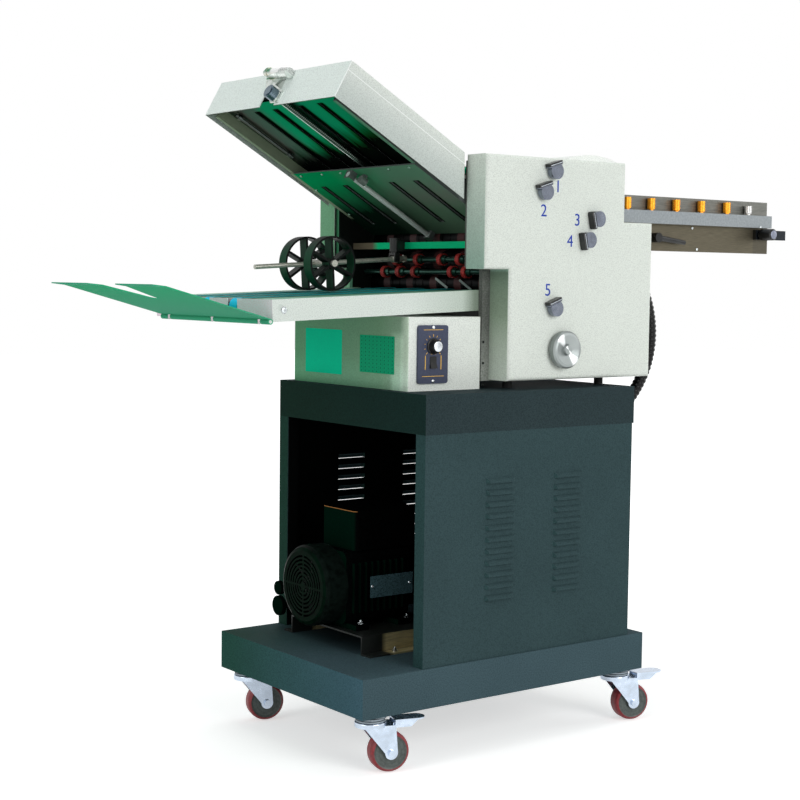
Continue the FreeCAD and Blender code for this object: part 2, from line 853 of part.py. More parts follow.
def rocker_switch():
    axis = rocker_axis()
    y0 = panel_corner().y - panel_thickness
    half = rocker_height / 2
    back = y0 + rocker_back
    corners = [V(axis.x - rocker_width / 2, y, z) for y, z in (
        (back, axis.z - half), (y0 - rocker_reach, axis.z - half),
        (y0 - 1, axis.z), (y0 - 0.6, axis.z + half), (back, axis.z + half))]
    rocker = Part.Face(Part.makePolygon(corners + corners[:1])).extrude(V(rocker_width, 0, 0))
    pin = cylinder(rocker_pin, V(axis.x - rocker_width / 2 - near_gap / 2, back - 0.1, axis.z),
                   X_AXIS, rocker_width + near_gap)
    return join([rocker, pin])


# ---- frame, covers ----
def frame_outline():
    low = deck_top + frame_foot_height
    return [(frame_left_low, low), (frame_left_low, deck_top + frame_step_left),
            (frame_left_high, deck_top + frame_step_left),
            (frame_left_high, deck_top + frame_height),
            (frame_right_high, deck_top + frame_height),
            (frame_right_high, deck_top + frame_step_right),
            (frame_right_low, deck_top + frame_step_right), (frame_right_low, low)]


def bearing_seats():
    big = [(axis, bearing_radius, journal_radius) for axis in
           (roller_one, roller_two, roller_three, roller_four, drive_axis, suction_axis)]
    small = [(axis, small_bearing_radius, radius) for axis, radius in (
        (delivery_upper, delivery_shaft_radius), (delivery_lower, delivery_shaft_radius),
        (belt_roller, belt_journal_radius))]
    return big + small


def frame_plates():
    solids = []
    for y0 in (near_outer, far_inner):
        plate = slab_y(frame_outline(), y0, y0 + frame_plate)
        for axis, outer, inner in bearing_seats():
            plate = plate.cut(bar_y(outer, axis, y0, y0 + frame_plate))
            ring = bar_y(outer, axis, y0, y0 + frame_plate)
            solids.append(ring.cut(bar_y(inner + running_fit, axis, y0, y0 + frame_plate)))
        if y0 == far_inner:
            plate = plate.cut(bar_y(motor_shaft_radius + 3, motor_axis, y0, y0 + frame_plate))
        solids.append(plate)
    return group(solids)


def frame_feet():
    feet = []
    for x in foot_places:
        for y in (near_outer + frame_plate / 2, cabinet_far - frame_foot_radius - 3):
            feet.append(cylinder(frame_foot_radius, V(x, y, deck_top), Z_AXIS,
                                 frame_foot_height))
    return group(feet)


def tie_bars():
    low = deck_top + frame_foot_height + 22
    high = deck_top + frame_height - 16
    bars = []
    for x, z in ((frame_left_low + 15, low), (frame_right_low - 15, low),
                 (frame_left_high + 26, high), (frame_right_high - 14, high)):
        bars.append(bar_y(tie_radius, V(x, 0, z), near_inner, far_inner))
    base = deck_top + frame_foot_height
    for x in foot_places:
        bars.append(block(x - base_bar_width / 2, x + base_bar_width / 2, near_inner, far_inner,
                          base, base + base_bar_height))
    half = cross_bar_thickness / 2
    z0 = deck_top + cross_bar_low
    bars.append(block(cross_bar_x - half, cross_bar_x + half, near_inner, far_inner, z0,
                      z0 + cross_bar_width))
    return group(bars)


def cover_outline(inset):
    low = deck_top + cover_bottom + inset
    high = deck_top + cover_top - inset
    step_left = deck_top + cover_step_left + inset
    step_right = deck_top + cover_step_right - inset
    return [(cover_left_low + inset, low), (cover_left_low + inset, step_left),
            (cover_left_high + inset, step_left), (cover_left_high + inset, high),
            (cover_right_high - inset, high), (cover_right_high - inset, step_right),
            (cover_right_low - inset, step_right), (cover_right_low - inset, low)]


def round_rim(shape, y, radius):
    """Fillet the edges that lie in the plane at y."""
    rim = [edge for edge in shape.Edges
           if all(abs(vertex.Y - y) < 0.1 for vertex in edge.Vertexes)]
    return shape.makeFillet(radius, rim)


def side_cover(frame_face, outward):
    """Cover shell standing out from frame_face; outward is -1 or 1 along Y."""
    outer_y = frame_face + outward * cover_depth
    shell = slab_y(cover_outline(0), frame_face, outer_y)
    shell = round_rim(shell, outer_y, cover_corner)
    inner_y = outer_y - outward * cover_sheet
    hollow = slab_y(cover_outline(cover_sheet), frame_face, inner_y)
    return shell.cut(round_rim(hollow, inner_y, cover_corner - cover_sheet))


def side_cover_near():
    shell = side_cover(near_outer, -1)
    y0 = near_outer - cover_depth
    for place in gap_knobs:
        axis = V(place.x, 0, deck_top + place.y)
        shell = shell.cut(bar_y(gap_spindle_radius + running_fit, axis, y0, y0 + cover_sheet))
    return shell.cut(bar_y(drive_shaft_radius + running_fit, drive_axis, y0, y0 + cover_sheet))


def side_cover_far():
    return side_cover(far_outer, 1)


def hood_outline(inset):
    """Bowed outline over the plates' top edges, as a face at y = 0."""
    low = deck_top + frame_height
    left = V(hood_left + inset, 0, low)
    crown = V(hood_left + 0.55 * hood_length, 0, low + hood_rise - inset)
    right = V(hood_left + hood_length - inset, 0, low + hood_rise - hood_fall)
    base = V(right.x, 0, low)
    edges = [Part.Arc(left, crown, right).toShape(), Part.makeLine(right, base),
             Part.makeLine(base, left)]
    return Part.Face(Part.Wire(edges))


def top_hood():
    shell = hood_outline(0).extrude(V(0, far_outer - near_outer - 1, 0))
    hollow = hood_outline(sheet).extrude(V(0, far_outer - near_outer - 1 - 2 * sheet, 0))
    hollow.translate(V(0, sheet, 0))
    shell = shell.cut(hollow)
    shell.translate(V(0, near_outer + 0.5, 0))
    return shell


# ---- rollers and drive ----
def gear(axis, y0, teeth, pitch_radius, phase):
    """Straight-toothed gear about a Y line; phase is one tooth's angle from +X to +Z."""
    tip = pitch_radius + gear_tooth_height * 0.42
    root = pitch_radius - gear_tooth_height * 0.58
    step = 360.0 / teeth
    corners = []
    for index in range(teeth):
        middle = phase + index * step
        for radius, share in ((root, -0.29), (tip, -0.13), (tip, 0.13), (root, 0.29)):
            angle = math.radians(middle + share * step)
            corners.append((axis.x + radius * math.cos(angle), axis.z + radius * math.sin(angle)))
    return slab_y(corners, y0, y0 + gear_width)


def next_phase(phase, direction, teeth):
    """Phase of an equal gear in mesh, its centre lying along direction in degrees."""
    step = 360.0 / teeth
    return direction + 180 - (phase - direction) - step / 2


def direction_between(first, second):
    return math.degrees(math.atan2(second.z - first.z, second.x - first.x))


def roller_profile():
    """Half section of a fold roller: body with shallow grooves beside its grip rings."""
    half = frame_inner_width / 2 - 2
    edges = [(0, -half), (fold_roller_radius, -half)]
    first = -(ring_count - 1) / 2 * ring_pitch
    for index in range(ring_count):
        middle = first + index * ring_pitch
        for low, high in ((middle - ring_width / 2 - 3, middle - ring_width / 2),
                          (middle + ring_width / 2, middle + ring_width / 2 + 3)):
            edges += [(fold_roller_radius, low), (fold_roller_radius - ring_groove, low),
                      (fold_roller_radius - ring_groove, high), (fold_roller_radius, high)]
    return edges + [(fold_roller_radius, half), (0, half)]


def fold_roller(axis, phase, pulley):
    body = turned_y(roller_profile(), axis, machine_mid_y)
    gear_y = far_outer + 1
    end = gear_y + gear_width
    journal = bar_y(journal_radius, axis, near_outer + 0.5, end)
    wheel = gear(axis, gear_y, gear_teeth, fold_roller_pitch / 2, phase)
    parts = [body, journal, wheel]
    if pulley:
        parts.append(bar_y(pulley, axis, end, end + pulley_width + 2))
    return join(parts)


def roller_phases():
    phases = [0.0]
    axes = [roller_one, roller_two, roller_three, roller_four]
    for first, second in zip(axes, axes[1:]):
        phases.append(next_phase(phases[-1], direction_between(first, second), gear_teeth))
    return phases


def delivery_shaft(axis, ring_places, phase, pulley):
    ends = (near_outer - 16, far_outer - 0.5)
    parts = [bar_y(delivery_shaft_radius, axis, ends[0] - gear_width, ends[1])]
    for y in ring_places:
        parts.append(bar_y(delivery_ring_radius, axis, y - delivery_ring_width / 2,
                           y + delivery_ring_width / 2))
        parts.append(turned_y([(0, -9), (7, -9), (8.5, 0), (0, 0)], axis,
                              y - delivery_ring_width / 2))
    wheel = gear(axis, ends[0] - gear_width + 0.5, delivery_teeth, delivery_centre / 2, phase)
    parts.append(wheel)
    if pulley:
        parts.append(bar_y(pulley, axis, near_outer - 13, near_outer - 3))
    return join(parts)


def delivery_phases():
    direction = direction_between(delivery_lower, delivery_upper)
    return 0.0, next_phase(0.0, direction, delivery_teeth)


def belt_drive_roller():
    parts = [bar_y(belt_roller_radius, belt_roller, near_inner + 2, far_inner - 2),
             bar_y(belt_journal_radius, belt_roller, near_outer - 13, far_outer - 0.5),
             bar_y(belt_pulley_radius, belt_roller, near_outer - 13, near_outer - 3)]
    return join(parts)


def tail_axis():
    flat = V(-table_length + tail_inset, 0, belt_proud - belt_thickness - near_gap
             - belt_roller_radius)
    turned = FreeCAD.Rotation(Y_AXIS, -table_tilt).multVec(flat)
    return table_corner + turned


def belt_tail_roller():
    axis = tail_axis()
    parts = [bar_y(belt_roller_radius, axis, near_inner + table_flange + 1,
                   far_inner - table_flange - 1),
             bar_y(belt_journal_radius, axis, near_inner + 0.5, far_inner - 0.5)]
    return join(parts)


def tangent_slab(first, r1, second, r2, y0, y1):
    """The four-cornered piece between two circles' outer tangents."""
    span = math.hypot(second.x - first.x, second.z - first.z)
    base = math.atan2(second.z - first.z, second.x - first.x)
    lean = math.acos((r1 - r2) / span)
    corners = []
    for centre, radius, side in ((first, r1, 1), (second, r2, 1), (second, r2, -1),
                                 (first, r1, -1)):
        angle = base + side * lean
        corners.append((centre.x + radius * math.cos(angle), centre.z + radius * math.sin(angle)))
    return slab_y(corners, y0, y1)


def hull(circles, y0, y1):
    """Solid hull of two or three circles in the XZ plane."""
    pieces = [bar_y(radius, centre, y0, y1) for centre, radius in circles]
    for index in range(len(circles)):
        first, r1 = circles[index]
        second, r2 = circles[(index + 1) % len(circles)]
        if len(circles) > 2 or index == 0:
            pieces.append(tangent_slab(first, r1, second, r2, y0, y1))
    if len(circles) > 2:
        pieces.append(slab_y([(centre.x, centre.z) for centre, _ in circles], y0, y1))
    return join(pieces)


def belt_loop(circles, y0, width, thickness):
    inner = [(centre, radius + near_gap) for centre, radius in circles]
    outer = [(centre, radius + near_gap + thickness) for centre, radius in circles]
    return hull(outer, y0, y0 + width).cut(hull(inner, y0, y0 + width))


def belts():
    loops = []
    tail = tail_axis()
    for offset in belt_places:
        y0 = machine_mid_y + offset - belt_width / 2
        loops.append(belt_loop([(belt_roller, belt_roller_radius), (tail, belt_roller_radius)],
                               y0, belt_width, belt_thickness))
    far_y = far_outer + gear_width + 3
    loops.append(belt_loop([(drive_axis, drive_pulley_radius), (roller_four, pulley_radius),
                            (motor_axis, pulley_radius)], far_y, pulley_width - 2,
                           drive_belt_thickness))
    loops.append(belt_loop([(roller_one, pulley_radius), (suction_axis, pulley_radius)],
                           far_y, pulley_width - 2, drive_belt_thickness))
    loops.append(belt_loop([(drive_axis, pulley_radius), (delivery_lower, small_pulley_radius),
                            (belt_roller, belt_pulley_radius)], near_outer - 12,
                           pulley_width - 2, drive_belt_thickness))
    return group(loops)


def hand_wheel():
    cover_face = near_outer - cover_depth
    hub_y = cover_face - near_gap
    front = hub_y - hand_wheel_depth
    profile = [(0, 0), (drive_shaft_radius + 4, 0), (drive_shaft_radius + 4, -6),
               (hand_wheel_radius - 9, -6), (hand_wheel_radius - 5, -3),
               (hand_wheel_radius, -5), (hand_wheel_radius, -hand_wheel_depth + 4),
               (hand_wheel_radius - 3, -hand_wheel_depth + 1),
               (hand_wheel_radius - 8, -hand_wheel_depth), (11, -hand_wheel_depth + 4),
               (9, -hand_wheel_depth - 1), (0, -hand_wheel_depth - 1)]
    wheel = turned_y(profile, drive_axis, hub_y)
    far_y = far_outer + gear_width + 1
    shaft = bar_y(drive_shaft_radius, drive_axis, front + 6, far_y + pulley_width)
    near_pulley = bar_y(pulley_radius, drive_axis, near_outer - 13, near_outer - 3)
    far_pulley = bar_y(drive_pulley_radius, drive_axis, far_y, far_y + pulley_width + 2)
    return join([wheel, shaft, near_pulley, far_pulley])


def drive_motor():
    body = bar_y(motor_radius, motor_axis, far_inner - motor_length, far_inner)
    far_y = far_outer + gear_width + 1
    shaft = bar_y(motor_shaft_radius, motor_axis, far_inner, far_y)
    pulley = bar_y(pulley_radius, motor_axis, far_y, far_y + pulley_width + 2)
    return group([join([body, shaft, pulley])])


def suction_roller():
    axis = suction_axis
    parts = [bar_y(suction_radius, axis, machine_mid_y - 60, machine_mid_y + 60),
             bar_y(suction_radius - 8, axis, near_inner + feed_plate_thickness + 2,
                   far_inner - feed_plate_thickness - 2),
             bar_y(journal_radius, axis, near_outer + 0.5, far_outer + gear_width + 1),
             bar_y(pulley_radius, axis, far_outer + gear_width + 1,
                   far_outer + gear_width + pulley_width + 3)]
    body = join(parts)
    holes = []
    for row in range(-2, 3):
        for step in range(6):
            hole = cylinder(4, V(0, 0, suction_radius - 6), Z_AXIS, 10)
            hole.rotate(ORIGIN, Y_AXIS, step * 60)
            hole.translate(V(axis.x, machine_mid_y + row * 22, axis.z))
            holes.append(hole)
    return body.cut(Part.makeCompound(holes))


def gap_knob(place):
    """D-shaped knob on a spindle, its flat carrying a stop plate."""
    axis = V(place.x, 0, deck_top + place.y)
    face = near_outer - cover_depth - near_gap
    spindle = bar_y(gap_spindle_radius, axis, face, near_outer - near_gap)
    collar = bar_y(gap_knob_radius - 3, axis, face - 3, face)
    disc = bar_y(gap_knob_radius, axis, face - 3 - gap_knob_depth, face - 3)
    off = gap_knob_flat
    cutter = block(axis.x + off, axis.x + 40, face - 40, face - 3, axis.z - 40, axis.z + 40)
    disc = disc.cut(cutter)
    plate = block(axis.x + off, axis.x + off + 5, face - 2 - gap_knob_depth, face - 1,
                  axis.z - gap_knob_radius - 1, axis.z + gap_knob_radius + 1)
    head = join([collar, disc, plate])
    head.rotate(V(axis.x, 0, axis.z), Y_AXIS, -place.z)
    return join([spindle, head])


# ---- upper fold plate ----
def fold_sheets():
    low, high = -plate_gap / 2, plate_gap / 2
    y0, y1 = near_inner + rail_width, far_inner - rail_width
    under = block(plate_far_end, plate_mouth, y0, y1, low - plate_sheet, low)
    over = block(plate_far_end, plate_mouth, y0, y1, high, high + plate_sheet)
    for offset in slot_offsets:
        y = machine_mid_y + offset
        cut = block(slot_start, slot_end, y - slot_width / 2, y + slot_width / 2, -20, 20)
        under = under.cut(cut)
        over = over.cut(cut)
    return under, over


def fold_plates():
    under, over = fold_sheets()
    rails = [block(plate_far_end, plate_mouth, near_inner, near_inner + rail_width, rail_low,
                   rail_high),
             block(plate_far_end, plate_mouth, far_inner - rail_width, far_inner, rail_low,
                   rail_high)]
    rest = block(screw_end, screw_end + 8, near_inner + rail_width, far_inner - rail_width,
                 rail_low, -plate_gap / 2 - plate_sheet)
    bore = cylinder(screw_radius + running_fit, V(screw_end - 1, screw_y, screw_low), X_AXIS, 20)
    rest = rest.cut(bore)
    tilted = [under, over, rest, guide_rod()] + rails + throat_plate()
    return group([on_fold_plate(shape) for shape in tilted] + lower_fold_plate())


def throat_plate():
    top = rail_low
    plate = block(throat_start, throat_end, near_inner, far_inner, top - throat_sheet, top)
    for offset in throat_slot_offsets:
        y = machine_mid_y + offset
        plate = plate.cut(block(throat_slot_start, throat_slot_end, y - slot_width / 2,
                                y + slot_width / 2, top - 10, top + 10))
    low = top - throat_sheet
    second = cylinder(screw_radius - 1, V(throat_start + 14, machine_mid_y, low - 9), X_AXIS,
                      throat_end - throat_start - 20)
    ends = [block(throat_start + 2, throat_start + 16, machine_mid_y - 9, machine_mid_y + 9,
                  low - 17, low),
            block(throat_end - 12, throat_end - 2, machine_mid_y - 9, machine_mid_y + 9,
                  low - 16, low)]
    knob = cylinder(8, V(throat_start + 16, machine_mid_y - 26, low - 12), X_AXIS, 14)
    post = block(throat_start + 19, throat_start + 27, machine_mid_y - 30, machine_mid_y - 22,
                 low - 6, low)
    return [plate, join([ends[0], ends[1], second]), join([knob, post])]


def guide_rod_line():
    return far_inner - rail_width - 28, -plate_gap / 2 - plate_sheet - 5


def guide_rod():
    """Thin rod under the plate on its far side, with a collar at each end."""
    y, z = guide_rod_line()
    rod = cylinder(3, V(guide_rod_start, y, z), X_AXIS, guide_rod_length)
    collars = [cylinder(5, V(guide_rod_start + along, y, z), X_AXIS, 8)
               for along in (6, guide_rod_length - 14)]
    return join([rod] + collars)


def lower_fold_plate():
    z = roller_three.z + fold_roller_pitch / 2
    x0 = roller_three.x + lower_plate_start
    x1 = x0 + lower_plate_length
    half = plate_gap / 2
    sheets = [block(x0, x1, near_inner + rail_width, far_inner - rail_width, z + half,
                    z + half + cover_sheet),
              block(x0, x1, near_inner + rail_width, far_inner - rail_width,
                    z - half - cover_sheet, z - half)]
    rails = [block(x0 + 6, x1, near_inner, near_inner + rail_width, z - lower_rail_height / 2,
                   z + lower_rail_height / 2),
             block(x0 + 6, x1, far_inner - rail_width, far_inner, z - lower_rail_height / 2,
                   z + lower_rail_height / 2)]
    return sheets + rails


def lead_screw():
    front = casing_end - screw_knob_gap
    knob_x = front - screw_knob_length
    screw = cylinder(screw_radius, V(front - 1, screw_y, screw_low), X_AXIS,
                     screw_end + 7 - (front - 1))
    knob = cylinder(screw_knob_radius, V(knob_x, screw_y, screw_low), X_AXIS, screw_knob_length)
    cap = cylinder(screw_knob_radius - 3, V(knob_x - 2, screw_y, screw_low), X_AXIS, 2)
    return on_fold_plate(join([screw, knob, cap]))


def plate_stop():
    y0, y1 = near_inner + rail_width + near_gap, far_inner - rail_width - near_gap
    bar = block(stop_rest, stop_rest + stop_thickness, y0, y1, stop_low, stop_high)
    bar = bar.cut(cylinder(screw_radius + running_fit, V(stop_rest - 1, screw_y, screw_low),
                           X_AXIS, stop_thickness + 2))
    rod_y, rod_z = guide_rod_line()
    bar = bar.cut(block(stop_rest - 1, stop_rest + stop_thickness + 1, rod_y - stop_rod_gap,
                        rod_y + stop_rod_gap, rod_z - stop_rod_gap, stop_high))
    fingers = []
    for offset in slot_offsets:
        y = machine_mid_y + offset
        fingers.append(block(stop_rest, stop_rest + stop_thickness, y - slot_width / 2 + 1.5,
                             y + slot_width / 2 - 1.5, stop_high, plate_gap / 2 - near_gap))
    return on_fold_plate(join([bar] + fingers))


def fold_plate_casing():
    y0, y1 = near_inner - casing_overhang, far_inner + casing_overhang
    seam = casing_high - lid_skirt
    far = -100
    t = cover_sheet
    body = block(casing_end, far, y0, y1, casing_low, seam)
    body = body.cut(block(casing_end + t, far, y0 + t, y1 - t, casing_low, seam))
    body = body.cut(block(casing_end - 1, casing_end + t, notch_near, notch_far, casing_low,
                          casing_low + 64))
    body = body.cut(cylinder(screw_radius + 1, V(casing_end - 1, screw_y, screw_low), X_AXIS,
                             t + 2))
    lid = block(casing_end, far, y0, y1, seam, casing_high)
    lid = lid.cut(block(casing_end + t, far, y0 + t, y1 - t, seam, casing_high - t))
    spacers = []
    for x in casing_spacers:
        spacers.append(bar_y(6, V(x, 0, 4), y0 + t, near_inner))
        spacers.append(bar_y(6, V(x, 0, 4), far_inner, y1 - t))
    reach = 2 * (casing_cut_x - casing_end)
    cutter = block(casing_cut_x, casing_cut_x + reach, y0 - 10, y1 + 10, deck_top,
                   deck_top + reach)
    placed = [on_fold_plate(shape).cut(cutter) for shape in [body, lid] + spacers]
    return group(placed + [on_fold_plate(shape) for shape in hand_bracket()])


def hand_bracket():
    """Bent strap on the casing's end that carries the lead screw, with a barrel on top."""
    x1 = casing_end
    x0 = x1 - strap_sheet
    top = casing_high - barrel_drop
    corners = [V(x0, 64, top), V(x0, 2, top), V(x0, 2, 36), V(x0, 20, 18), V(x0, -17, 2),
               V(x0, -17, -22), V(x0, 7, -22), V(x0, 52, 18), V(x0, 64, 36)]
    strap = Part.Face(Part.makePolygon(corners + corners[:1])).extrude(V(x1 - x0, 0, 0))
    boss = cylinder(screw_radius + 4, V(x0 - 3, screw_y, screw_low), X_AXIS, 3)
    axis = V(x1 - barrel_radius - 0.5, 0, top - 2)
    barrel = bar_y(barrel_radius - 1, axis, 2, 46)
    ring = bar_y(barrel_radius, axis, -26, 2)
    cone = turned_y([(0, 0), (barrel_radius, 0), (barrel_radius, 6), (5, 20), (0, 20)], axis, 46)
    for shape in (barrel, ring, cone):
        shape.rotate(V(axis.x, 24, axis.z), X_AXIS, barrel_tilt)
    bore = cylinder(screw_radius + running_fit, V(x0 - 4, screw_y, screw_low), X_AXIS, 20)
    return [join([strap, boss, barrel]).cut(bore), ring, cone]


# ---- delivery table ----
def delivery_table():
    y0, y1 = near_inner, far_inner
    left = -table_length
    rails = []
    for low, high, flange_low, flange_high in (
            (y0, y0 + sheet, y0, y0 + table_flange), (y1 - sheet, y1, y1 - table_flange, y1)):
        rails.append(block(left, -table_frame_reach + 2, low, high, -table_depth_z, 0))
        rails.append(block(left, -table_frame_reach - 12, flange_low, flange_high, -sheet, 0))
    bed = block(left + 2 * tail_inset, -26, y0, y1, -sheet - bed_below, -bed_below)
    front = block(left, left + sheet, y0, y1, -table_depth_z, 0)
    for offset in belt_places:
        y = machine_mid_y + offset
        half = belt_width / 2 + 4
        front = front.cut(block(left - 1, left + sheet + 1, y - half, y + half, -belt_window, 1))
    table = join(rails + [bed, front])
    tail = V(left + tail_inset, 0,
             belt_proud - belt_thickness - near_gap - belt_roller_radius)
    table = table.cut(bar_y(belt_journal_radius + running_fit, tail, y0 - 1, y1 + 1))
    pin = V(left - hinge_reach, 0, -hinge_drop)
    ears = []
    for y in hinge_ears():
        ear = block(left - hinge_reach - 4, left, y, y + hinge_ear, -hinge_drop - 4,
                    -hinge_drop + 4)
        ears.append(ear)
    table = table.fuse(ears).cut(bar_y(hinge_pin_radius, pin, y0, y1))
    rod = bar_y(hinge_pin_radius, pin, tray_near, tray_near + tray_width)
    return group([on_table(table), on_table(rod)])


def hinge_ears():
    middle = tray_near + tray_width / 2 - hinge_ear / 2
    return [middle - hinge_ear_spread, middle, middle + hinge_ear_spread]


def tray_pin():
    flat = V(-table_length - hinge_reach, 0, -hinge_drop)
    return table_corner + FreeCAD.Rotation(Y_AXIS, -table_tilt).multVec(flat)


def tray():
    """Sheet with a tapered finger slot, a flattened lip and a hinge barrel."""
    y0 = tray_near
    y1 = y0 + tray_width
    high = hinge_barrel_radius
    flat_end = -tray_length + tray_lip
    plate = block(flat_end, 0, y0, y1, high - sheet, high)
    lip = block(-tray_lip, 0, y0, y1, -sheet, 0)
    lip = tipped(lip, -tray_lip_bend, V(flat_end, 0, high))
    tip_x = -tray_length - 5
    root_x = -tray_length + tray_slot_depth - tray_slot_root
    corners = [V(tip_x, tray_slot_middle - tray_slot_mouth, -30),
               V(root_x, tray_slot_middle - tray_slot_root, -30),
               V(root_x, tray_slot_middle + tray_slot_root, -30),
               V(tip_x, tray_slot_middle + tray_slot_mouth, -30)]
    slot = Part.Face(Part.makePolygon(corners + corners[:1])).extrude(V(0, 0, 60))
    slot_round = cylinder(tray_slot_root, V(root_x, tray_slot_middle, -30), Z_AXIS, 60)
    barrel = bar_y(hinge_barrel_radius, ORIGIN, y0, y1)
    body = join([plate.fuse(barrel), lip]).cut(slot.fuse(slot_round))
    body = body.cut(bar_y(hinge_pin_radius + running_fit, ORIGIN, y0, y1))
    for y in hinge_ears():
        body = body.cut(block(-9, 12, y - near_gap, y + hinge_ear + near_gap, -12, 12))
    return tipped(body, tray_tilt, tray_pin())


# ---- press arm ----
def arm_pivot():
    return V(arm_pivot_x, arm_y, deck_top + arm_pivot_height)


def on_arm(shape):
    moved = shape.copy()
    moved.rotate(ORIGIN, Y_AXIS, -arm_droop)
    moved.translate(arm_pivot())
    return moved


def arm_clamp():
    """Clamp on the cross bar, with a tall knob and a fork for the arm's pivot."""
    z0 = deck_top + cross_bar_low
    z1 = z0 + cross_bar_width
    half = cross_bar_thickness / 2
    y0, y1 = arm_y - clamp_width / 2, arm_y + clamp_width / 2
    left = arm_pivot_x - 3
    jaw = block(left, cross_bar_x + half + 5, y0, y1, z0 - 5, z1 + 5)
    jaw = jaw.cut(block(cross_bar_x - half - near_gap, cross_bar_x + half + near_gap, y0, y1,
                        z0 - near_gap, z1 + near_gap))
    knob_low = deck_top + arm_pivot_height + 15
    knob = cylinder(clamp_knob_radius, V(arm_pivot_x, arm_y, knob_low), Z_AXIS,
                    z1 + 8 - knob_low)
    neck = cylinder(clamp_knob_radius - 3, V(arm_pivot_x, arm_y, knob_low - 4), Z_AXIS, 4)
    half_eye = arm_eye_width / 2 + near_gap
    pivot = arm_pivot()
    cheeks = []
    for side in (-1, 1):
        c0 = arm_y + min(side * half_eye, side * (half_eye + 3))
        cheeks.append(block(arm_pivot_x - 6, arm_pivot_x + 6, c0, c0 + 3, pivot.z - 6,
                            knob_low - 4))
    saddle = block(arm_pivot_x - 6, arm_pivot_x + 6, arm_y - half_eye - 3, arm_y + half_eye + 3,
                   pivot.z + arm_eye_radius + 1, knob_low - 2)
    pin = bar_y(3, pivot, arm_y - half_eye - 4, arm_y + half_eye + 4)
    return join([jaw, knob, neck, saddle, pin] + cheeks)


def press_arm():
    eye = bar_y(arm_eye_radius, ORIGIN, -arm_eye_width / 2, arm_eye_width / 2)
    rod = cylinder(arm_radius, ORIGIN, V(-1, 0, 0), arm_length)
    tail = cylinder(arm_radius + 1.5, ORIGIN, X_AXIS, 22)
    head = cylinder(arm_radius + 2.5, V(22, 0, 0), X_AXIS, 5)
    boss = bar_y(8, V(-press_axle_back, 0, 0), -press_wheel_offset + press_wheel_width / 2
                 + near_gap, press_wheel_offset - press_wheel_width / 2 - near_gap)
    reach = press_wheel_offset + press_wheel_width / 2 + 3
    axle = bar_y(press_axle_radius, V(-press_axle_back, 0, 0), -reach, reach)
    caps = [bar_y(6.5, V(-press_axle_back, 0, 0), -reach - 3, -reach + 3 - near_gap),
            bar_y(6.5, V(-press_axle_back, 0, 0), reach - 3 + near_gap, reach + 3)]
    arm = join([eye, rod, tail, head, boss, axle] + caps)
    return on_arm(arm.cut(bar_y(3 + running_fit, ORIGIN, -20, 20)))


def press_wheel(y_middle):
    centre = V(-press_axle_back, 0, 0)
    half = press_wheel_width / 2
    rim = bar_y(press_wheel_radius, centre, y_middle - half, y_middle + half)
    rim = rim.cut(bar_y(press_wheel_radius - press_rim, centre, y_middle - half,
                        y_middle + half))
    hub = bar_y(10, centre, y_middle - half, y_middle + half)
    spokes = []
    for index in range(press_spokes):
        spoke = block(6, press_wheel_radius - press_rim + 1, y_middle - half + spoke_inset,
                      y_middle + half - spoke_inset, -spoke_thickness / 2, spoke_thickness / 2)
        spoke.rotate(ORIGIN, Y_AXIS, index * 360.0 / press_spokes + spoke_phase)
        spoke.translate(centre)
        spokes.append(spoke)
    wheel = join([rim, hub] + spokes)
    return wheel.cut(bar_y(press_axle_radius + running_fit, centre, y_middle - 30,
                           y_middle + 30))


def press_wheels():
    return on_arm(group([press_wheel(-press_wheel_offset), press_wheel(press_wheel_offset)]))


# ---- feed table ----
def feed_side(inner_y, outward):
    """Side plate, rail and back strip on one side; outward is -1 or 1 along Y."""
    def span(a, b):
        low, high = inner_y + outward * a, inner_y + outward * b
        return min(low, high), max(low, high)
    p0, p1 = span(-feed_plate_thickness, 0)
    plate = block(feed_left, feed_right, p0, p1, deck_top + feed_plate_low,
                  deck_top + feed_plate_high)
    r0, r1 = span(-feed_plate_thickness, feed_rail_thickness - feed_plate_thickness)
    plate = plate.cut(bar_y(journal_radius + 4, suction_axis, p0, p1))
    rail = block(feed_rail_left, feed_rail_right, r0, r1, deck_top + feed_plate_high,
                 deck_top + rail_top)
    s0, s1 = span(-feed_plate_thickness, -feed_plate_thickness + back_strip_thickness)
    strip = block(feed_rail_left, feed_right, s0, s1, deck_top + rail_top,
                  deck_top + back_strip_top)
    return [plate, rail, strip]


def feed_table():
    solids = feed_side(near_inner, -1) + feed_side(far_inner, 1)
    z = deck_top + bed_height
    t = feed_plate_thickness
    bed = block(bed_left, feed_right - 2, near_inner + t, far_inner - t, z - sheet, z)
    register = block(register_left, register_right, near_inner, far_inner,
                     deck_top + register_height - sheet, deck_top + register_height)
    guide = block(guide_block_left, guide_block_right, near_inner - guide_block_thickness,
                  near_inner, deck_top + guide_height - guide_block_height / 2,
                  deck_top + guide_height + guide_block_height / 2 - near_gap)
    stub = bar_y(4, V(guide_x, 0, deck_top + guide_height),
                 near_inner - guide_block_thickness - 12, near_inner - guide_block_thickness)
    lever_stub = bar_y(4, V(lever_x, 0, deck_top + lever_height), near_inner - 10, near_inner)
    return group(solids + [bed, register, join([guide, stub]), lever_stub, hose_socket()])


def hose_socket():
    """Socket on the near frame plate that the suction hose is pushed into."""
    tip = hose_route[0]
    along = hose_route[0] - hose_route[1]
    along.normalize()
    socket = cylinder(hose_socket_radius, tip, along, hose_socket_length)
    foot = block(tip.x - 34, tip.x - 6, near_inner, tip.y - 6, tip.z - 8, tip.z + 22)
    return join([socket, foot])


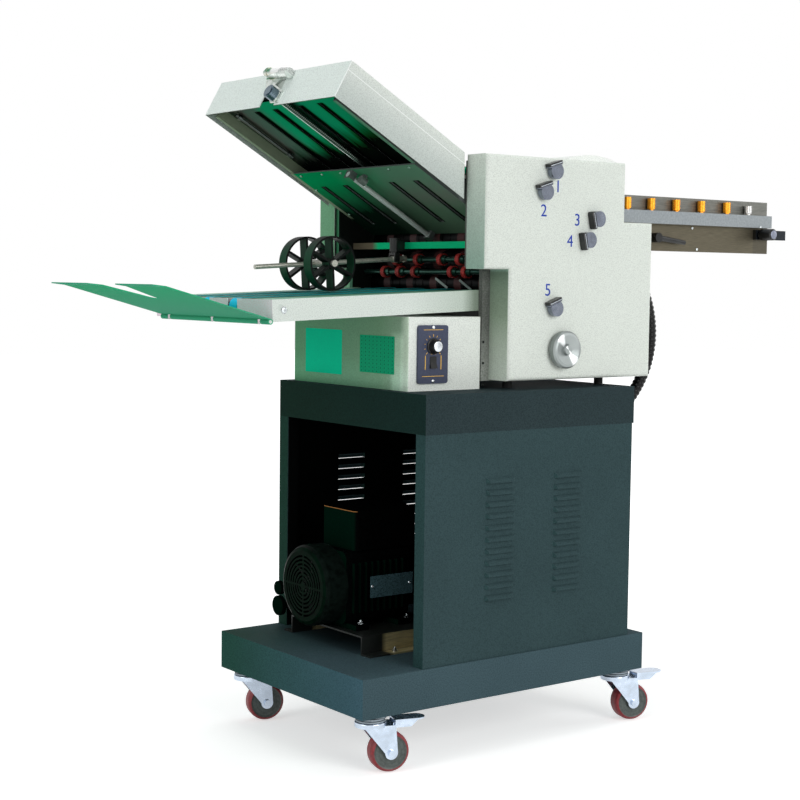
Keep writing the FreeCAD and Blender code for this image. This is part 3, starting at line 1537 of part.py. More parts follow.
def thumb_knobs():
    z = deck_top + rail_top
    y = near_inner - (feed_rail_thickness - feed_plate_thickness) + thumb_radius + 1
    knobs = []
    for x in thumb_places:
        neck = cylinder(thumb_radius - 3, V(x, y, z), Z_AXIS, 4)
        head = cylinder(thumb_radius, V(x, y, z + 3), Z_AXIS, thumb_height - 3)
        knobs.append(join([neck, head]))
    neck = cylinder(small_thumb_radius - 3, V(small_thumb_x, y, z), Z_AXIS, 4)
    head = cylinder(small_thumb_radius, V(small_thumb_x, y, z + 4), Z_AXIS,
                    small_thumb_height - 4)
    return group(knobs + [join([neck, head])])


def clamp_lever():
    axis = V(lever_x, 0, deck_top + lever_height)
    face = near_inner - near_gap
    hub = bar_y(lever_hub_radius, axis, face - lever_hub_depth, face)
    droop = math.radians(lever_droop)
    along = V(math.cos(droop), 0, -math.sin(droop))
    start = V(axis.x, face - lever_hub_depth + 6, axis.z)
    arm = Part.makeCone(6, 4.5, lever_length, start, along)
    bore = bar_y(4 + running_fit, axis, near_inner - 10 - near_gap, near_inner)
    return join([hub, arm]).cut(bore)


def guide_knob():
    axis = V(guide_x, 0, deck_top + guide_height)
    face = near_inner - guide_block_thickness - near_gap
    bore = 4 + running_fit
    profile = [(bore, 0), (guide_knob_radius - 3, 0), (guide_knob_radius, -3),
               (guide_knob_radius, -guide_knob_length + 2),
               (guide_knob_radius - 2, -guide_knob_length), (0, -guide_knob_length),
               (0, -12 - near_gap), (bore, -12 - near_gap)]
    return turned_y(profile, axis, face)


# ---- hose ----
def suction_hose():
    """Straight runs joined by tangent arcs, swept by the hose's circle."""
    edges = []
    start = hose_route[0]
    radii = []
    for before, corner, after in zip(hose_route, hose_route[1:], hose_route[2:]):
        first, second = corner - before, after - corner
        turn = first.getAngle(second)
        cut = 0.45 * min(first.Length, second.Length)
        radii.append(cut / math.tan(turn / 2))
        a = corner - first * (cut / first.Length)
        b = corner + second * (cut / second.Length)
        bisect = (a + b) * 0.5 - corner
        depth = radii[-1] / math.cos(turn / 2) - radii[-1]
        middle = corner + bisect * (depth / bisect.Length)
        edges.append(Part.LineSegment(start, a).toShape())
        edges.append(Part.Arc(a, middle, b).toShape())
        start = b
    edges.append(Part.LineSegment(start, hose_route[-1]).toShape())
    path = Part.Wire(edges)
    ring = Part.Wire([Part.Circle(hose_route[0], hose_route[1] - hose_route[0],
                                  hose_radius).toShape()])
    tube = path.makePipeShell([ring], True, True)
    print("hose radii", [round(radius) for radius in radii], "length", round(path.Length))
    print("hose volume", round(tube.Volume), "expected",
          round(math.pi * hose_radius ** 2 * path.Length))
    return tube


# ---- export ----
def export(name, shape):
    shape.exportStep("parts/" + name + ".step")


os.makedirs("parts", exist_ok=True)
export("plinth", plinth())
export("cabinet_body", cabinet_body())
export("cabinet_side_near", louvred_panel(cabinet_near, -1))
export("cabinet_side_far", louvred_panel(cabinet_far, 1))
export("cabinet_deck", cabinet_deck())
export("fan_cowl", fan_cowl())
export("pump_fan", pump_fan())
export("pump_body", pump_body())
export("pump_bracket", pump_bracket())
export("electrical_box", electrical_box())
export("speed_panel", speed_panel())
export("speed_knob", speed_knob())
export("rocker_switch", rocker_switch())
export("frame_plates", frame_plates())
export("frame_feet", frame_feet())
export("tie_bars", tie_bars())
export("side_cover_near", side_cover_near())
export("side_cover_far", side_cover_far())
export("top_hood", top_hood())
phases = roller_phases()
export("fold_roller_1", fold_roller(roller_one, phases[0], pulley_radius))
export("fold_roller_2", fold_roller(roller_two, phases[1], None))
export("fold_roller_3", fold_roller(roller_three, phases[2], None))
export("fold_roller_4", fold_roller(roller_four, phases[3], pulley_radius))
lower_phase, upper_phase = delivery_phases()
export("delivery_shaft_upper", delivery_shaft(delivery_upper, [118, 46, -30, -88],
                                              upper_phase, None))
export("delivery_shaft_lower", delivery_shaft(delivery_lower, [157, 106, 55, -64, -107],
                                              lower_phase, small_pulley_radius))
export("belt_drive_roller", belt_drive_roller())
export("belt_tail_roller", belt_tail_roller())
export("belts", belts())
export("hand_wheel", hand_wheel())
export("drive_motor", drive_motor())
export("suction_roller", suction_roller())
for number, place in enumerate(gap_knobs, start=1):
    export("gap_knob_" + str(number), gap_knob(place))
export("fold_plates", fold_plates())
export("lead_screw", lead_screw())
export("plate_stop", plate_stop())
export("fold_plate_casing", fold_plate_casing())
export("delivery_table", delivery_table())
export("tray", tray())
export("arm_clamp", arm_clamp())
export("press_arm", press_arm())
export("press_wheels", press_wheels())
export("feed_table", feed_table())
export("thumb_knobs", thumb_knobs())
export("clamp_lever", clamp_lever())
export("guide_knob", guide_knob())
export("suction_hose", suction_hose())
for name, place in zip(("near_left", "near_right", "far_left", "far_right"), castor_places()):
    export("castor_fork_" + name, castor_fork(place))
    export("castor_wheel_" + name, castor_wheel(place))
for name, place in zip(("left", "right"), castor_places()):
    export("brake_pedal_" + name, brake_pedal(place))
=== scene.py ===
"""The paper folding machine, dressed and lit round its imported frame."""
import math
import bpy
import bmesh
from mathutils import Matrix, Vector


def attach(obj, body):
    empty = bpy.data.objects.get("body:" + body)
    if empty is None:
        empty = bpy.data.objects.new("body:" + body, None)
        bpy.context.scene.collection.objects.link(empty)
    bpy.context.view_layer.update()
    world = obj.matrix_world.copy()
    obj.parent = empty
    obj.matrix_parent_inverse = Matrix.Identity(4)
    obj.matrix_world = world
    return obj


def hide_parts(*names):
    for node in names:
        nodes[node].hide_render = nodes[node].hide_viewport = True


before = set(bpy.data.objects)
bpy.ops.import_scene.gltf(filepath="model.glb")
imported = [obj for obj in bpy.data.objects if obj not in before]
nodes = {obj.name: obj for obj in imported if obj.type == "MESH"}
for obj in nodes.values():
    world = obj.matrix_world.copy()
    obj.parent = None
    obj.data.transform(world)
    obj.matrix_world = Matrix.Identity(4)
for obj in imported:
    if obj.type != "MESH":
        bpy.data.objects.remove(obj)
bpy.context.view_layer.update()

# lengths and places are in millimetres unless a comment says metres
MM = 0.001
STAND = "stand_and_head"
LEFT, RIGHT, NEAR, FAR, UP = (-1, 0, 0), (1, 0, 0), (0, -1, 0), (0, 1, 0), (0, 0, 1)
COVER_FACE_Y = -253.5
BOX_FACE_X = -259.0
PANEL_FACE_Y = -201.5
FRAME_FACE_Y = -196.5
FEED_FACE_Y = -186.5
PANEL_X = -205
DIAL_Z = 762
CASTOR_AXLE = (0.2924, 0.9563, 0)
# how far a castor's hub lies from its swivel, and above the ground
CASTOR_TRAIL_X, CASTOR_TRAIL_Y, CASTOR_RADIUS = 32.51, -9.94, 37
# two corners of the cabinet's inside, in metres
CABINET_LOW, CABINET_HIGH = (-0.2785, -0.2768, 0.1805), (0.2366, 0.2018, 0.6775)
# the fold plate's origin in millimetres and in metres, and its slope
FOLD_X, FOLD_Z = 3.2, 987.3
FOLD_ORIGIN = (FOLD_X * MM, 0, FOLD_Z * MM)
FOLD_COS, FOLD_SIN = 0.8712, 0.4909
FOLD_ALONG = (FOLD_COS, 0, -FOLD_SIN)
FOLD_UP = (FOLD_SIN, 0, FOLD_COS)
FOLD_DOWN = (-FOLD_SIN, 0, -FOLD_COS)


def put(name, data):
    """Adds an object that shows data to the scene."""
    thing = bpy.data.objects.new(name, data)
    bpy.context.scene.collection.objects.link(thing)
    return thing


# ---- camera ----
def add_camera():
    """The photo's camera, solved from the machine's straight edges; eye is in metres."""
    eye = Vector((-2.0460, -2.5381, 0.8863))
    yaw, pitch, roll = math.radians(37.07), math.radians(4.32), math.radians(0.71)
    view = Vector((math.sin(yaw) * math.cos(pitch), math.cos(yaw) * math.cos(pitch),
                   -math.sin(pitch)))
    flat = Vector((math.cos(yaw), -math.sin(yaw), 0))
    over = flat.cross(view)
    right = flat * math.cos(roll) + over * math.sin(roll)
    up = over * math.cos(roll) - flat * math.sin(roll)
    data = bpy.data.cameras.new("camera")
    data.lens = 72.36
    data.sensor_width = 36
    data.clip_end = 50
    camera = put("camera", data)
    turn = Matrix((right, up, -view)).transposed()
    camera.matrix_world = Matrix.Translation(eye) @ turn.to_4x4()
    bpy.context.scene.camera = camera


# ---- shader helpers ----
def colour(r, g, b):
    """A linear colour from 0 to 255 screen values."""
    def linear(v):
        v /= 255
        return v / 12.92 if v <= 0.04045 else ((v + 0.055) / 1.055) ** 2.4
    return (linear(r), linear(g), linear(b), 1)


def scaled(shade, factor):
    return tuple(min(1, c * factor) for c in shade[:3]) + (1,)


def connect(socket, value):
    """Links a node's output to the socket, or sets a plain value."""
    if hasattr(value, "links"):
        value.node.id_data.links.new(value, socket)
    else:
        socket.default_value = value


def math_node(tree, operation, a, b=0.0, clamp=False):
    node = tree.nodes.new("ShaderNodeMath")
    node.operation = operation
    node.use_clamp = clamp
    connect(node.inputs[0], a)
    connect(node.inputs[1], b)
    return node.outputs[0]


class Paint:
    """A material being mixed. Its methods add nodes and give back their output."""

    def __init__(self, name, roughness, metallic=0.0, specular=0.5):
        self.material = bpy.data.materials.new(name)
        self.material.use_nodes = True
        self.tree = self.material.node_tree
        self.inputs = self.tree.nodes["Principled BSDF"].inputs
        self.feed("Roughness", roughness)
        self.feed("Metallic", metallic)
        self.feed("Specular IOR Level", specular)

    def feed(self, name, value):
        connect(self.inputs[name], value)

    def base(self, shade):
        self.feed("Base Color", shade)

    def node(self, kind, values=(), **settings):
        """Adds a node; values are pairs of an input and what it takes."""
        node = self.tree.nodes.new("ShaderNode" + kind)
        for key, setting in settings.items():
            setattr(node, key, setting)
        for key, value in values:
            connect(node.inputs[key], value)
        return node

    def place(self):
        return self.node("TexCoord").outputs["Object"]

    def axis(self, index):
        return self.node("SeparateXYZ", [(0, self.place())]).outputs[index]

    def noise(self, scale, detail=2.0, stretch=None):
        where = self.place()
        if stretch:
            where = self.node("Mapping", [("Vector", where), ("Scale", stretch)]).outputs[0]
        return self.node("TexNoise", [("Vector", where), ("Scale", scale),
                                      ("Detail", detail)]).outputs["Fac"]

    def vector(self, operation, *values):
        outputs = self.node("VectorMath", enumerate(values), operation=operation).outputs
        return outputs["Value" if operation in ("DOT_PRODUCT", "LENGTH") else "Vector"]

    def facing(self, direction, low=0.5, high=0.95):
        """1 where the surface looks along direction, 0 where it looks away."""
        normal = self.node("TexCoord").outputs["Normal"]
        alike = self.vector("DOT_PRODUCT", normal, Vector(direction).normalized())
        return self.span(alike, low, high)

    def radial(self, centre, axis):
        """Distance in metres from a line through centre along axis."""
        shift = self.vector("SUBTRACT", self.place(), centre)
        return self.vector("LENGTH", self.vector("CROSS_PRODUCT", shift,
                                                 Vector(axis).normalized()))

    def lengthwise(self, centre, axis):
        """Signed distance in metres from centre along axis."""
        shift = self.vector("SUBTRACT", self.place(), centre)
        return self.vector("DOT_PRODUCT", shift, Vector(axis).normalized())

    def math(self, operation, a, b=0.0):
        return math_node(self.tree, operation, a, b)

    def times(self, a, b):
        return self.math("MULTIPLY", a, b)

    def span(self, value, low, high, to_low=0.0, to_high=1.0):
        """Maps low to to_low and high to to_high, and holds them beyond."""
        return self.node("MapRange", [("Value", value), ("From Min", low), ("From Max", high),
                                      ("To Min", to_low), ("To Max", to_high)]).outputs["Result"]

    def fall(self, value, low, high):
        """1 up to low, 0 from high on."""
        return self.span(value, low, high, 1, 0)

    def band(self, value, low, high, soft=0.0008):
        """1 between low and high, 0 outside."""
        return self.times(self.span(value, low - soft, low + soft),
                          self.fall(value, high - soft, high + soft))

    def near_lines(self, value, places, half, soft=0.002):
        """1 within half of any of the places."""
        nearest = None
        for at in places:
            away = self.math("ABSOLUTE", self.math("SUBTRACT", value, at))
            nearest = away if nearest is None else self.math("MINIMUM", nearest, away)
        return self.fall(nearest, half - soft, half + soft)

    def ramp(self, value, stops):
        node = self.node("ValToRGB", [("Fac", value)])
        elements = node.color_ramp.elements
        for _ in range(len(stops) - 2):
            elements.new(0.5)
        for element, (position, shade) in zip(elements, stops):
            element.position = position
            element.color = shade
        return node.outputs["Color"]

    def tones(self, value, first, second, low=0.3, high=0.7):
        return self.ramp(value, [(low, first), (high, second)])

    def mix(self, factor, a, b, kind="MIX"):
        return self.node("Mix", data_type="RGBA", blend_type=kind,
                         values=[(0, factor), (6, a), (7, b)]).outputs[2]

    def tint(self, shade, tone):
        return self.mix(1.0, shade, tone, "MULTIPLY")

    def cast(self, mask, shade, tone):
        """Tints the shade where the mask is 1."""
        return self.mix(mask, shade, self.tint(shade, tone))

    def clouded(self, shade, scale, low, high):
        """Makes broad patches a little darker or lighter."""
        return self.tint(shade, self.span(self.noise(scale, 3), 0.3, 0.7, low, high))

    def flecked(self, base, dark, light, grain=520):
        """Fine enamel grain: the noise, and its colour round the base."""
        fleck = self.noise(grain, 3)
        return fleck, self.ramp(fleck, [(0.36, scaled(base, dark)), (0.5, base),
                                        (0.66, scaled(base, light))])

    def bump(self, height, strength, distance):
        """Roughens the surface and gives back the finished material."""
        node = self.node("Bump", [("Strength", strength), ("Distance", distance),
                                  ("Height", height)])
        self.feed("Normal", node.outputs["Normal"])
        return self.material


# ---- materials ----
# limits along an axis and distances from a centre are in metres here
def paint(name, base, grain=520, contrast=0.1, roughness=0.5, left=None, depth=0.0004,
          strength=0.35, specular=0.25):
    """Textured enamel; left is painted light: a tone cast on its left faces, and the share of it.
    """
    p = Paint(name, roughness, 0.0, specular)
    fleck, shade = p.flecked(base, 1 - contrast * 1.7, 1 + contrast, grain)
    shade = p.clouded(shade, 7, 0.94, 1.04)
    # painted light on the left faces, given as a tone and its share
    if left:
        tone, share = left
        shade = p.cast(p.times(p.facing(LEFT), share), shade, tone)
    p.base(shade)
    p.feed("Roughness", p.span(fleck, 0.3, 0.7, roughness - 0.06, roughness + 0.08))
    return p.bump(fleck, strength, depth)


def brushed(name, base, along, roughness, metallic=1.0):
    """Metal with fine lines along the axis whose scale is smallest."""
    p = Paint(name, roughness, metallic)
    lines = p.noise(22, 4, along)
    shade = p.tones(lines, scaled(base, 0.88), scaled(base, 1.12))
    p.base(p.clouded(shade, 9, 0.9, 1.06))
    p.feed("Roughness", p.span(lines, 0.3, 0.7, roughness - 0.08, roughness + 0.1))
    return p.bump(lines, 0.12, 0.0002)


def plastic(name, base, roughness, coat=0.0, specular=0.3, dusty=0.12):
    """Moulded plastic or rubber with fine grain and a little dust."""
    p = Paint(name, roughness, 0.0, specular)
    fleck = p.noise(900, 2)
    shade = p.tones(fleck, scaled(base, 0.8), scaled(base, 1.25))
    dust = p.span(p.noise(30, 4), 0.45, 0.8, 0.0, dusty)
    p.base(p.mix(dust, shade, colour(120, 122, 120)))
    p.feed("Coat Weight", coat)
    return p.bump(fleck, 0.15, 0.0002)


def plated(name, base, roughness):
    """Zinc, nickel or chrome with a faint haze."""
    p = Paint(name, roughness, 1.0)
    haze = p.noise(60, 4)
    p.base(p.tones(haze, scaled(base, 0.86), scaled(base, 1.08)))
    p.feed("Roughness", p.span(haze, 0.3, 0.7, roughness - 0.05, roughness + 0.12))
    return p.bump(p.noise(160, 2), 0.05, 0.0003)


def ringed_roller(name, low, high):
    """Knurled dark steel with red rubber bands every 77.5 mm, under painted shade towards the far
    end.
    """
    p = Paint(name, 0.4, 0.0)
    y = p.axis(1)
    offset, pitch = 0.1395, 0.0775
    steps = p.math("DIVIDE", p.math("ADD", y, offset), pitch)
    part = p.math("FRACT", p.math("ADD", steps, 10.5))
    ring = p.fall(p.math("ABSOLUTE", p.math("SUBTRACT", part, 0.5)), 0.138, 0.144)
    grain = p.noise(500, 2)
    metal = p.tones(grain, colour(10, 11, 12), colour(20, 21, 22), 0.35, 0.65)
    red = p.tones(grain, low, high)
    # painted shade, darker towards the far end
    depth = p.span(y, -0.19, 0.2, 1.0, 0.3)
    p.base(p.tint(p.mix(ring, metal, red), depth))
    p.feed("Metallic", p.span(ring, 0, 1, 0.9, 0.0))
    p.feed("Roughness", p.span(ring, 0, 1, 0.38, 0.62))
    return p.bump(grain, 0.3, 0.0003)


def ringed_shaft(name, centre):
    """Bright shaft whose larger collars are red rubber rings."""
    p = Paint(name, 0.3, 1.0)
    ring = p.span(p.radial(centre, FAR), 0.0093, 0.0097)
    grain = p.noise(300, 3)
    metal = p.tones(grain, colour(30, 60, 52), colour(52, 92, 80))
    red = p.tones(grain, colour(135, 28, 28), colour(190, 52, 48))
    p.base(p.mix(ring, metal, red))
    p.feed("Metallic", p.span(ring, 0, 1, 0.85, 0.0))
    p.feed("Roughness", p.span(ring, 0, 1, 0.3, 0.6))
    return p.bump(grain, 0.2, 0.0003)


def castor_tyre(name, centre, axis):
    """Red tread, worn in places, on a grey core with dark turned rings."""
    p = Paint(name, 0.5)
    out = p.radial(centre, axis)
    side = p.lengthwise(centre, axis)
    tread = p.times(p.span(out, 0.0308, 0.0314), p.fall(side, 0.0092, 0.0096))
    grain = p.noise(180, 4)
    core = p.tones(grain, colour(62, 68, 66), colour(86, 94, 90))
    red = p.tones(grain, colour(116, 26, 34), colour(148, 40, 46))
    worn = p.span(p.noise(40, 5), 0.55, 0.8, 0.0, 0.35)
    red = p.mix(worn, red, colour(120, 84, 84))
    groove = p.fall(p.math("PINGPONG", out, 0.0035), 0, 0.0006)
    groove = p.times(groove, p.span(out, 0.029, 0.0295, 0.6, 0))
    p.base(p.mix(groove, p.mix(tread, core, red), colour(28, 32, 31)))
    return p.bump(grain, 0.2, 0.0004)


def spun(name, centre):
    """Turned aluminium with fine rings and soft painted fan-shaped glints."""
    p = Paint(name, 0.35, 1.0)
    out = p.radial(centre, FAR)
    rings = p.math("SINE", p.times(out, 9000))
    x, _, z = p.node("SeparateXYZ", [(0, p.vector("SUBTRACT", p.place(), centre))]).outputs
    angle = p.math("ARCTAN2", z, x)
    # painted glints in a fan, on the near face
    fan = p.math("COSINE", p.times(p.math("ADD", angle, -2.27), 2))
    fan = p.span(fan, 0.7, 1.0)
    fan.node.interpolation_type = "SMOOTHSTEP"
    wave = p.span(p.noise(4, 2), 0.3, 0.7, -0.1, 0.1)
    face = p.facing(NEAR, 0.85, 0.95)
    glint = p.times(p.math("ADD", fan, wave), face)
    p.base(p.tones(glint, colour(138, 144, 143), colour(224, 227, 227), 0, 1))
    p.feed("Anisotropic", 0.6)
    return p.bump(rings, 0.18, 0.0002)


def knurled(name, base, plain_from):
    """Polished brass with fine upright ribs; steel from plain_from on along the row."""
    p = Paint(name, 0.24, 0.6)
    x = p.axis(0)
    haze = p.noise(90, 3)
    shade = p.tones(haze, scaled(base, 0.85), scaled(base, 1.12))
    p.base(p.mix(p.span(x, plain_from, plain_from + 0.001), shade, colour(200, 200, 198)))
    return p.bump(p.math("SINE", p.times(x, 7200)), 0.35, 0.0004)


def left_cast(p, shade, near, far):
    """Painted green light on the left faces, stronger towards the far side."""
    tone = p.tones(p.span(p.axis(1), -0.27, 0.16), near, far, 0, 1)
    return p.cast(p.facing(LEFT, 0.4, 0.95), shade, tone)


def inside(p, shade, low, high, tone):
    """Paints shade over what lies within a box, given by two corners in metres."""
    mask = None
    for axis in range(3):
        value = p.axis(axis)
        over = p.times(p.math("GREATER_THAN", value, low[axis]),
                       p.math("LESS_THAN", value, high[axis]))
        mask = over if mask is None else p.times(mask, over)
    return p.cast(mask, shade, tone)


def slate_paint(name, base, near, far, plinth=False):
    """Hammered slate enamel with painted green light on its left faces and painted shade inside
    the cabinet; zinc below a plinth's edge.
    """
    p = Paint(name, 0.7, 0.0, 0.04)
    fleck, shade = p.flecked(base, 0.78, 1.13, 420)
    # painted green light on the left faces
    shade = left_cast(p, p.clouded(shade, 7, 0.94, 1.04), near, far)
    # painted shade inside the cabinet
    shade = inside(p, shade, CABINET_LOW, CABINET_HIGH, colour(24, 27, 26))
    if plinth:
        # painted green light on its top at the far left, and painted shadow under the pump
        up = p.facing(UP, 0.7, 0.95)
        far_left = p.times(p.span(p.axis(1), -0.1, 0.15), p.fall(p.axis(0), -0.40, -0.20))
        shade = p.mix(p.times(up, far_left), shade, colour(26, 58, 50))
        under = p.times(p.band(p.axis(0), -0.30, 0.22, 0.03),
                        p.band(p.axis(1), -0.11, 0.16, 0.03))
        shade = p.mix(p.times(p.times(up, under), 0.6), shade, colour(8, 12, 12))
        # the castor plates, with a line where their layers meet
        zinc = p.fall(p.axis(2), 0.1066, 0.1069)
        layers = p.near_lines(p.axis(2), (0.0985, 0.103), 0.0007, 0.0003)
        plate = p.mix(layers, colour(150, 160, 168), colour(30, 36, 38))
        shade = p.mix(zinc, shade, plate)
        p.feed("Metallic", p.times(zinc, 0.6))
    p.base(shade)
    return p.bump(fleck, 0.5, 0.0006)


def dress(material, *names):
    """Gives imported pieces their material."""
    for name in names:
        piece = nodes[name]
        if not piece.material_slots:
            piece.data.materials.append(material)
        for entry in piece.material_slots:
            entry.material = material


def dress_nodes():
    # tones of the painted green light on the cabinet's left faces, near and far
    near, far = colour(226, 255, 248), colour(150, 210, 172)
    dress(slate_paint("hammered_slate", colour(54, 73, 76), near, far), "cabinet_body",
          "cabinet_side_near", "cabinet_side_far")
    # the deck and plinth get darker and lighter copies of the same enamel and green light:
    # painted shade and painted light
    dress(slate_paint("hammered_slate_deck", colour(46, 59, 62), colour(140, 196, 178),
                      colour(118, 186, 148)), "cabinet_deck")
    dress(slate_paint("hammered_slate_plinth", colour(67, 87, 94), colour(262, 292, 304),
                      colour(158, 230, 192), plinth=True), "plinth")
    white = colour(222, 227, 220)
    dress(cover_paint(white), "side_cover_near")
    # a lighter copy of the off-white, as painted light
    dress(paint("speckled_white_hood", colour(242, 244, 241)), "top_hood")
    dress(casing_paint(white), "fold_plate_casing")
    # painted green light on its left faces
    dress(paint("speckled_white_far", white, left=(colour(128, 190, 150), 1.0)), "side_cover_far")
    # a lighter copy of the off-white, as painted light
    dress(box_paint(colour(236, 240, 234)), "electrical_box")
    dress(table_paint(), "delivery_table")
    dress(tray_paint(), "tray")
    dress(frame_paint(), "frame_plates")
    dress(bar_paint(), "tie_bars")
    dress(feed_steel(), "feed_table")
    dress(fold_sheet_steel(), "fold_plates", "plate_stop")
    dress(ringed_roller("ringed_roller_low", colour(120, 22, 24), colour(176, 44, 42)),
          "fold_roller_1")
    # rollers 2 to 4 get a darker copy of the same bands, as painted shade
    dress(ringed_roller("ringed_roller", colour(50, 10, 11), colour(74, 17, 17)), "fold_roller_2",
          "fold_roller_3", "fold_roller_4")
    dress(brushed("roller_steel", colour(96, 100, 102), (60, 2, 60), 0.4), "suction_roller",
          "belt_drive_roller")
    dress(tail_roller_paint(), "belt_tail_roller")
    dress(ringed_shaft("ringed_shaft_low", centre=(-0.050, 0, 0.9004)), "delivery_shaft_lower")
    dress(ringed_shaft("ringed_shaft_high", centre=(-0.050, 0, 0.9250)), "delivery_shaft_upper")
    dress(screw_steel(), "lead_screw")
    dress(brushed("arm_steel", colour(190, 188, 178), (4, 40, 40), 0.3, metallic=0.5),
          "press_arm")
    dress(plastic("clamp_black", colour(16, 18, 18), 0.4), "arm_clamp", "drive_motor")
    dress(belt_weave(), "belts")
    dress(plastic("foot_rubber", colour(24, 25, 25), 0.7), "frame_feet")
    dress(pump_paint(), "pump_body")
    # painted green light on the cowl's left faces
    dress(paint("cowl_black", colour(13, 21, 18), grain=90, contrast=0.25, roughness=0.35,
                depth=0.0003, strength=0.2, specular=0.01, left=(colour(90, 255, 190), 0.9)),
          "fan_cowl")
    dress(plastic("fan_black", colour(20, 24, 23), 0.5), "pump_fan")
    dress(bracket_zinc(), "pump_bracket")
    zinc = plated("castor_zinc", colour(200, 212, 228), 0.2)
    dress(zinc, "brake_pedal_left", "brake_pedal_right")
    for side, y in (("near", -247), ("far", 169)):
        for end, x in (("left", -373), ("right", 238)):
            corner = "%s_%s" % (side, end)
            hub = ((x + CASTOR_TRAIL_X) * MM, (y + CASTOR_TRAIL_Y) * MM, CASTOR_RADIUS * MM)
            dress(zinc, "castor_fork_" + corner)
            dress(castor_tyre("tyre_" + corner, hub, CASTOR_AXLE), "castor_wheel_" + corner)
    dress(spun("spun_aluminium", centre=(0.068, 0, 0.7537)), "hand_wheel")
    for number in range(1, 6):
        dress(plated("knob_chrome_%d" % number, colour(124, 130, 142), 0.16),
              "gap_knob_%d" % number)
    dress(knurled("knurled_brass", colour(250, 162, 30), plain_from=0.63), "thumb_knobs")
    dress(plastic("moulded_black", colour(14, 15, 16), 0.35), "speed_knob", "rocker_switch",
          "guide_knob", "clamp_lever")
    dress(paint("panel_slate_blue", colour(64, 70, 92), grain=300, contrast=0.06, roughness=0.42,
                depth=0.0001), "speed_panel")
    dress(press_wheel_paint(), "press_wheels")
    dress(plastic("hose_core", colour(16, 18, 18), 0.5), "suction_hose")


def speckled(name, white, specular=0.2):
    """Off-white enamel with raised grain: the paint and its colour."""
    p = Paint(name, 0.5, 0.0, specular)
    fleck, shade = p.flecked(white, 0.83, 1.08)
    p.bump(fleck, 0.3, 0.0004)
    return p, shade


def cover_paint(white):
    """Off-white shell with painted green-grey light and shade on its left edges, strongest
    towards the middle.
    """
    p, shade = speckled("speckled_white", white)
    # painted green light and shade on the left faces, by height
    height = p.span(p.axis(2), 0.69, 1.12)
    tone = p.ramp(height, [(0.02, colour(246, 252, 246)), (0.3, colour(164, 180, 162)),
                           (0.488, colour(132, 152, 136)), (0.502, colour(181, 209, 199)),
                           (0.995, colour(250, 252, 250))])
    p.base(p.cast(p.facing(LEFT, 0.93, 0.98), shade, tone))
    return p.material


def table_paint():
    """Enamel table with painted green light on top and painted shade on its front towards the
    frame.
    """
    p, shade = speckled("table_enamel", colour(220, 227, 221), 0.15)
    shade = p.cast(p.facing(UP), shade, colour(162, 220, 194))
    # painted light on the end face
    end = p.times(p.facing(LEFT, 0.5, 0.9), p.fall(p.axis(0), -0.5, -0.49))
    shade = p.cast(end, shade, colour(300, 270, 290))
    # painted shade on the front, darker towards the frame
    for low, high, tone in ((-0.25, -0.07, colour(216, 224, 216)),
                            (-0.125, -0.095, colour(170, 176, 168))):
        mask = p.times(p.facing(NEAR), p.span(p.axis(0), low, high))
        shade = p.cast(mask, shade, tone)
    p.base(shade)
    return p.material


def tail_roller_paint():
    """Ground steel roller with an enamelled journal end."""
    p = Paint("tail_roller_steel", 0.4, 1.0)
    grain = p.noise(200, 3)
    steel = p.tones(grain, colour(84, 88, 90), colour(108, 112, 114))
    cap = p.fall(p.axis(1), -0.1857, -0.1853)
    p.base(p.mix(cap, steel, colour(204, 212, 206)))
    p.feed("Metallic", p.fall(cap, 0, 1))
    return p.bump(grain, 0.1, 0.0002)


def frame_paint():
    """Grey enamel on the outer faces, near-black between the plates as painted shade; a painted
    green reflection in the far edges.
    """
    p = Paint("frame_enamel", 0.45, 0.0, 0.1)
    grain = p.noise(420, 3)
    y, z = p.axis(1), p.axis(2)
    # near-black, painted shade, for the faces between the plates
    dark = p.tones(grain, colour(15, 19, 17), colour(25, 29, 27))
    enamel = p.tones(grain, colour(150, 155, 148), colour(186, 190, 183), 0.36, 0.64)
    upward = p.tones(p.span(z, 0.69, 0.80), colour(232, 232, 232), colour(150, 150, 150), 0, 1)
    enamel = p.tint(enamel, upward)
    left = p.facing(LEFT, 0.5, 0.9)
    # the near plate's left edge and outer face
    outer = p.math("MAXIMUM", p.times(left, p.fall(y, -0.16, -0.159)),
                   p.fall(y, -0.1964, -0.1961))
    shade = p.mix(outer, dark, enamel)
    # the far plate's left edge: a painted green reflection, darker lower down
    far = p.times(left, p.span(y, 0.10, 0.11))
    edge = p.mix(p.span(z, 0.82, 0.96), colour(20, 44, 38), colour(52, 110, 78))
    p.base(p.mix(far, shade, edge))
    p.feed("Metallic", p.times(far, 0.8))
    return p.bump(grain, 0.2, 0.0003)


def bar_paint():
    """Steel bars; a painted green reflection on the cross bar's left face, and brown at its far
    end.
    """
    p = Paint("bar_steel", 0.4, 0.3, 0.0)
    lines = p.noise(22, 4, (60, 2, 60))
    green = p.tones(lines, colour(8, 176, 118), colour(14, 194, 134))
    brown = p.tones(lines, colour(92, 84, 70), colour(108, 98, 82))
    steel = p.tones(lines, colour(74, 78, 76), colour(96, 100, 98))
    # painted green reflection on the cross bar's left face
    shade = p.mix(p.span(p.axis(1), 0.14, 0.16), green, brown)
    # not the base bars, which lie lower
    left = p.times(p.facing(LEFT, 0.5, 0.9), p.span(p.axis(2), 0.85, 0.86))
    p.base(p.mix(left, steel, shade))
    return p.bump(lines, 0.12, 0.0002)


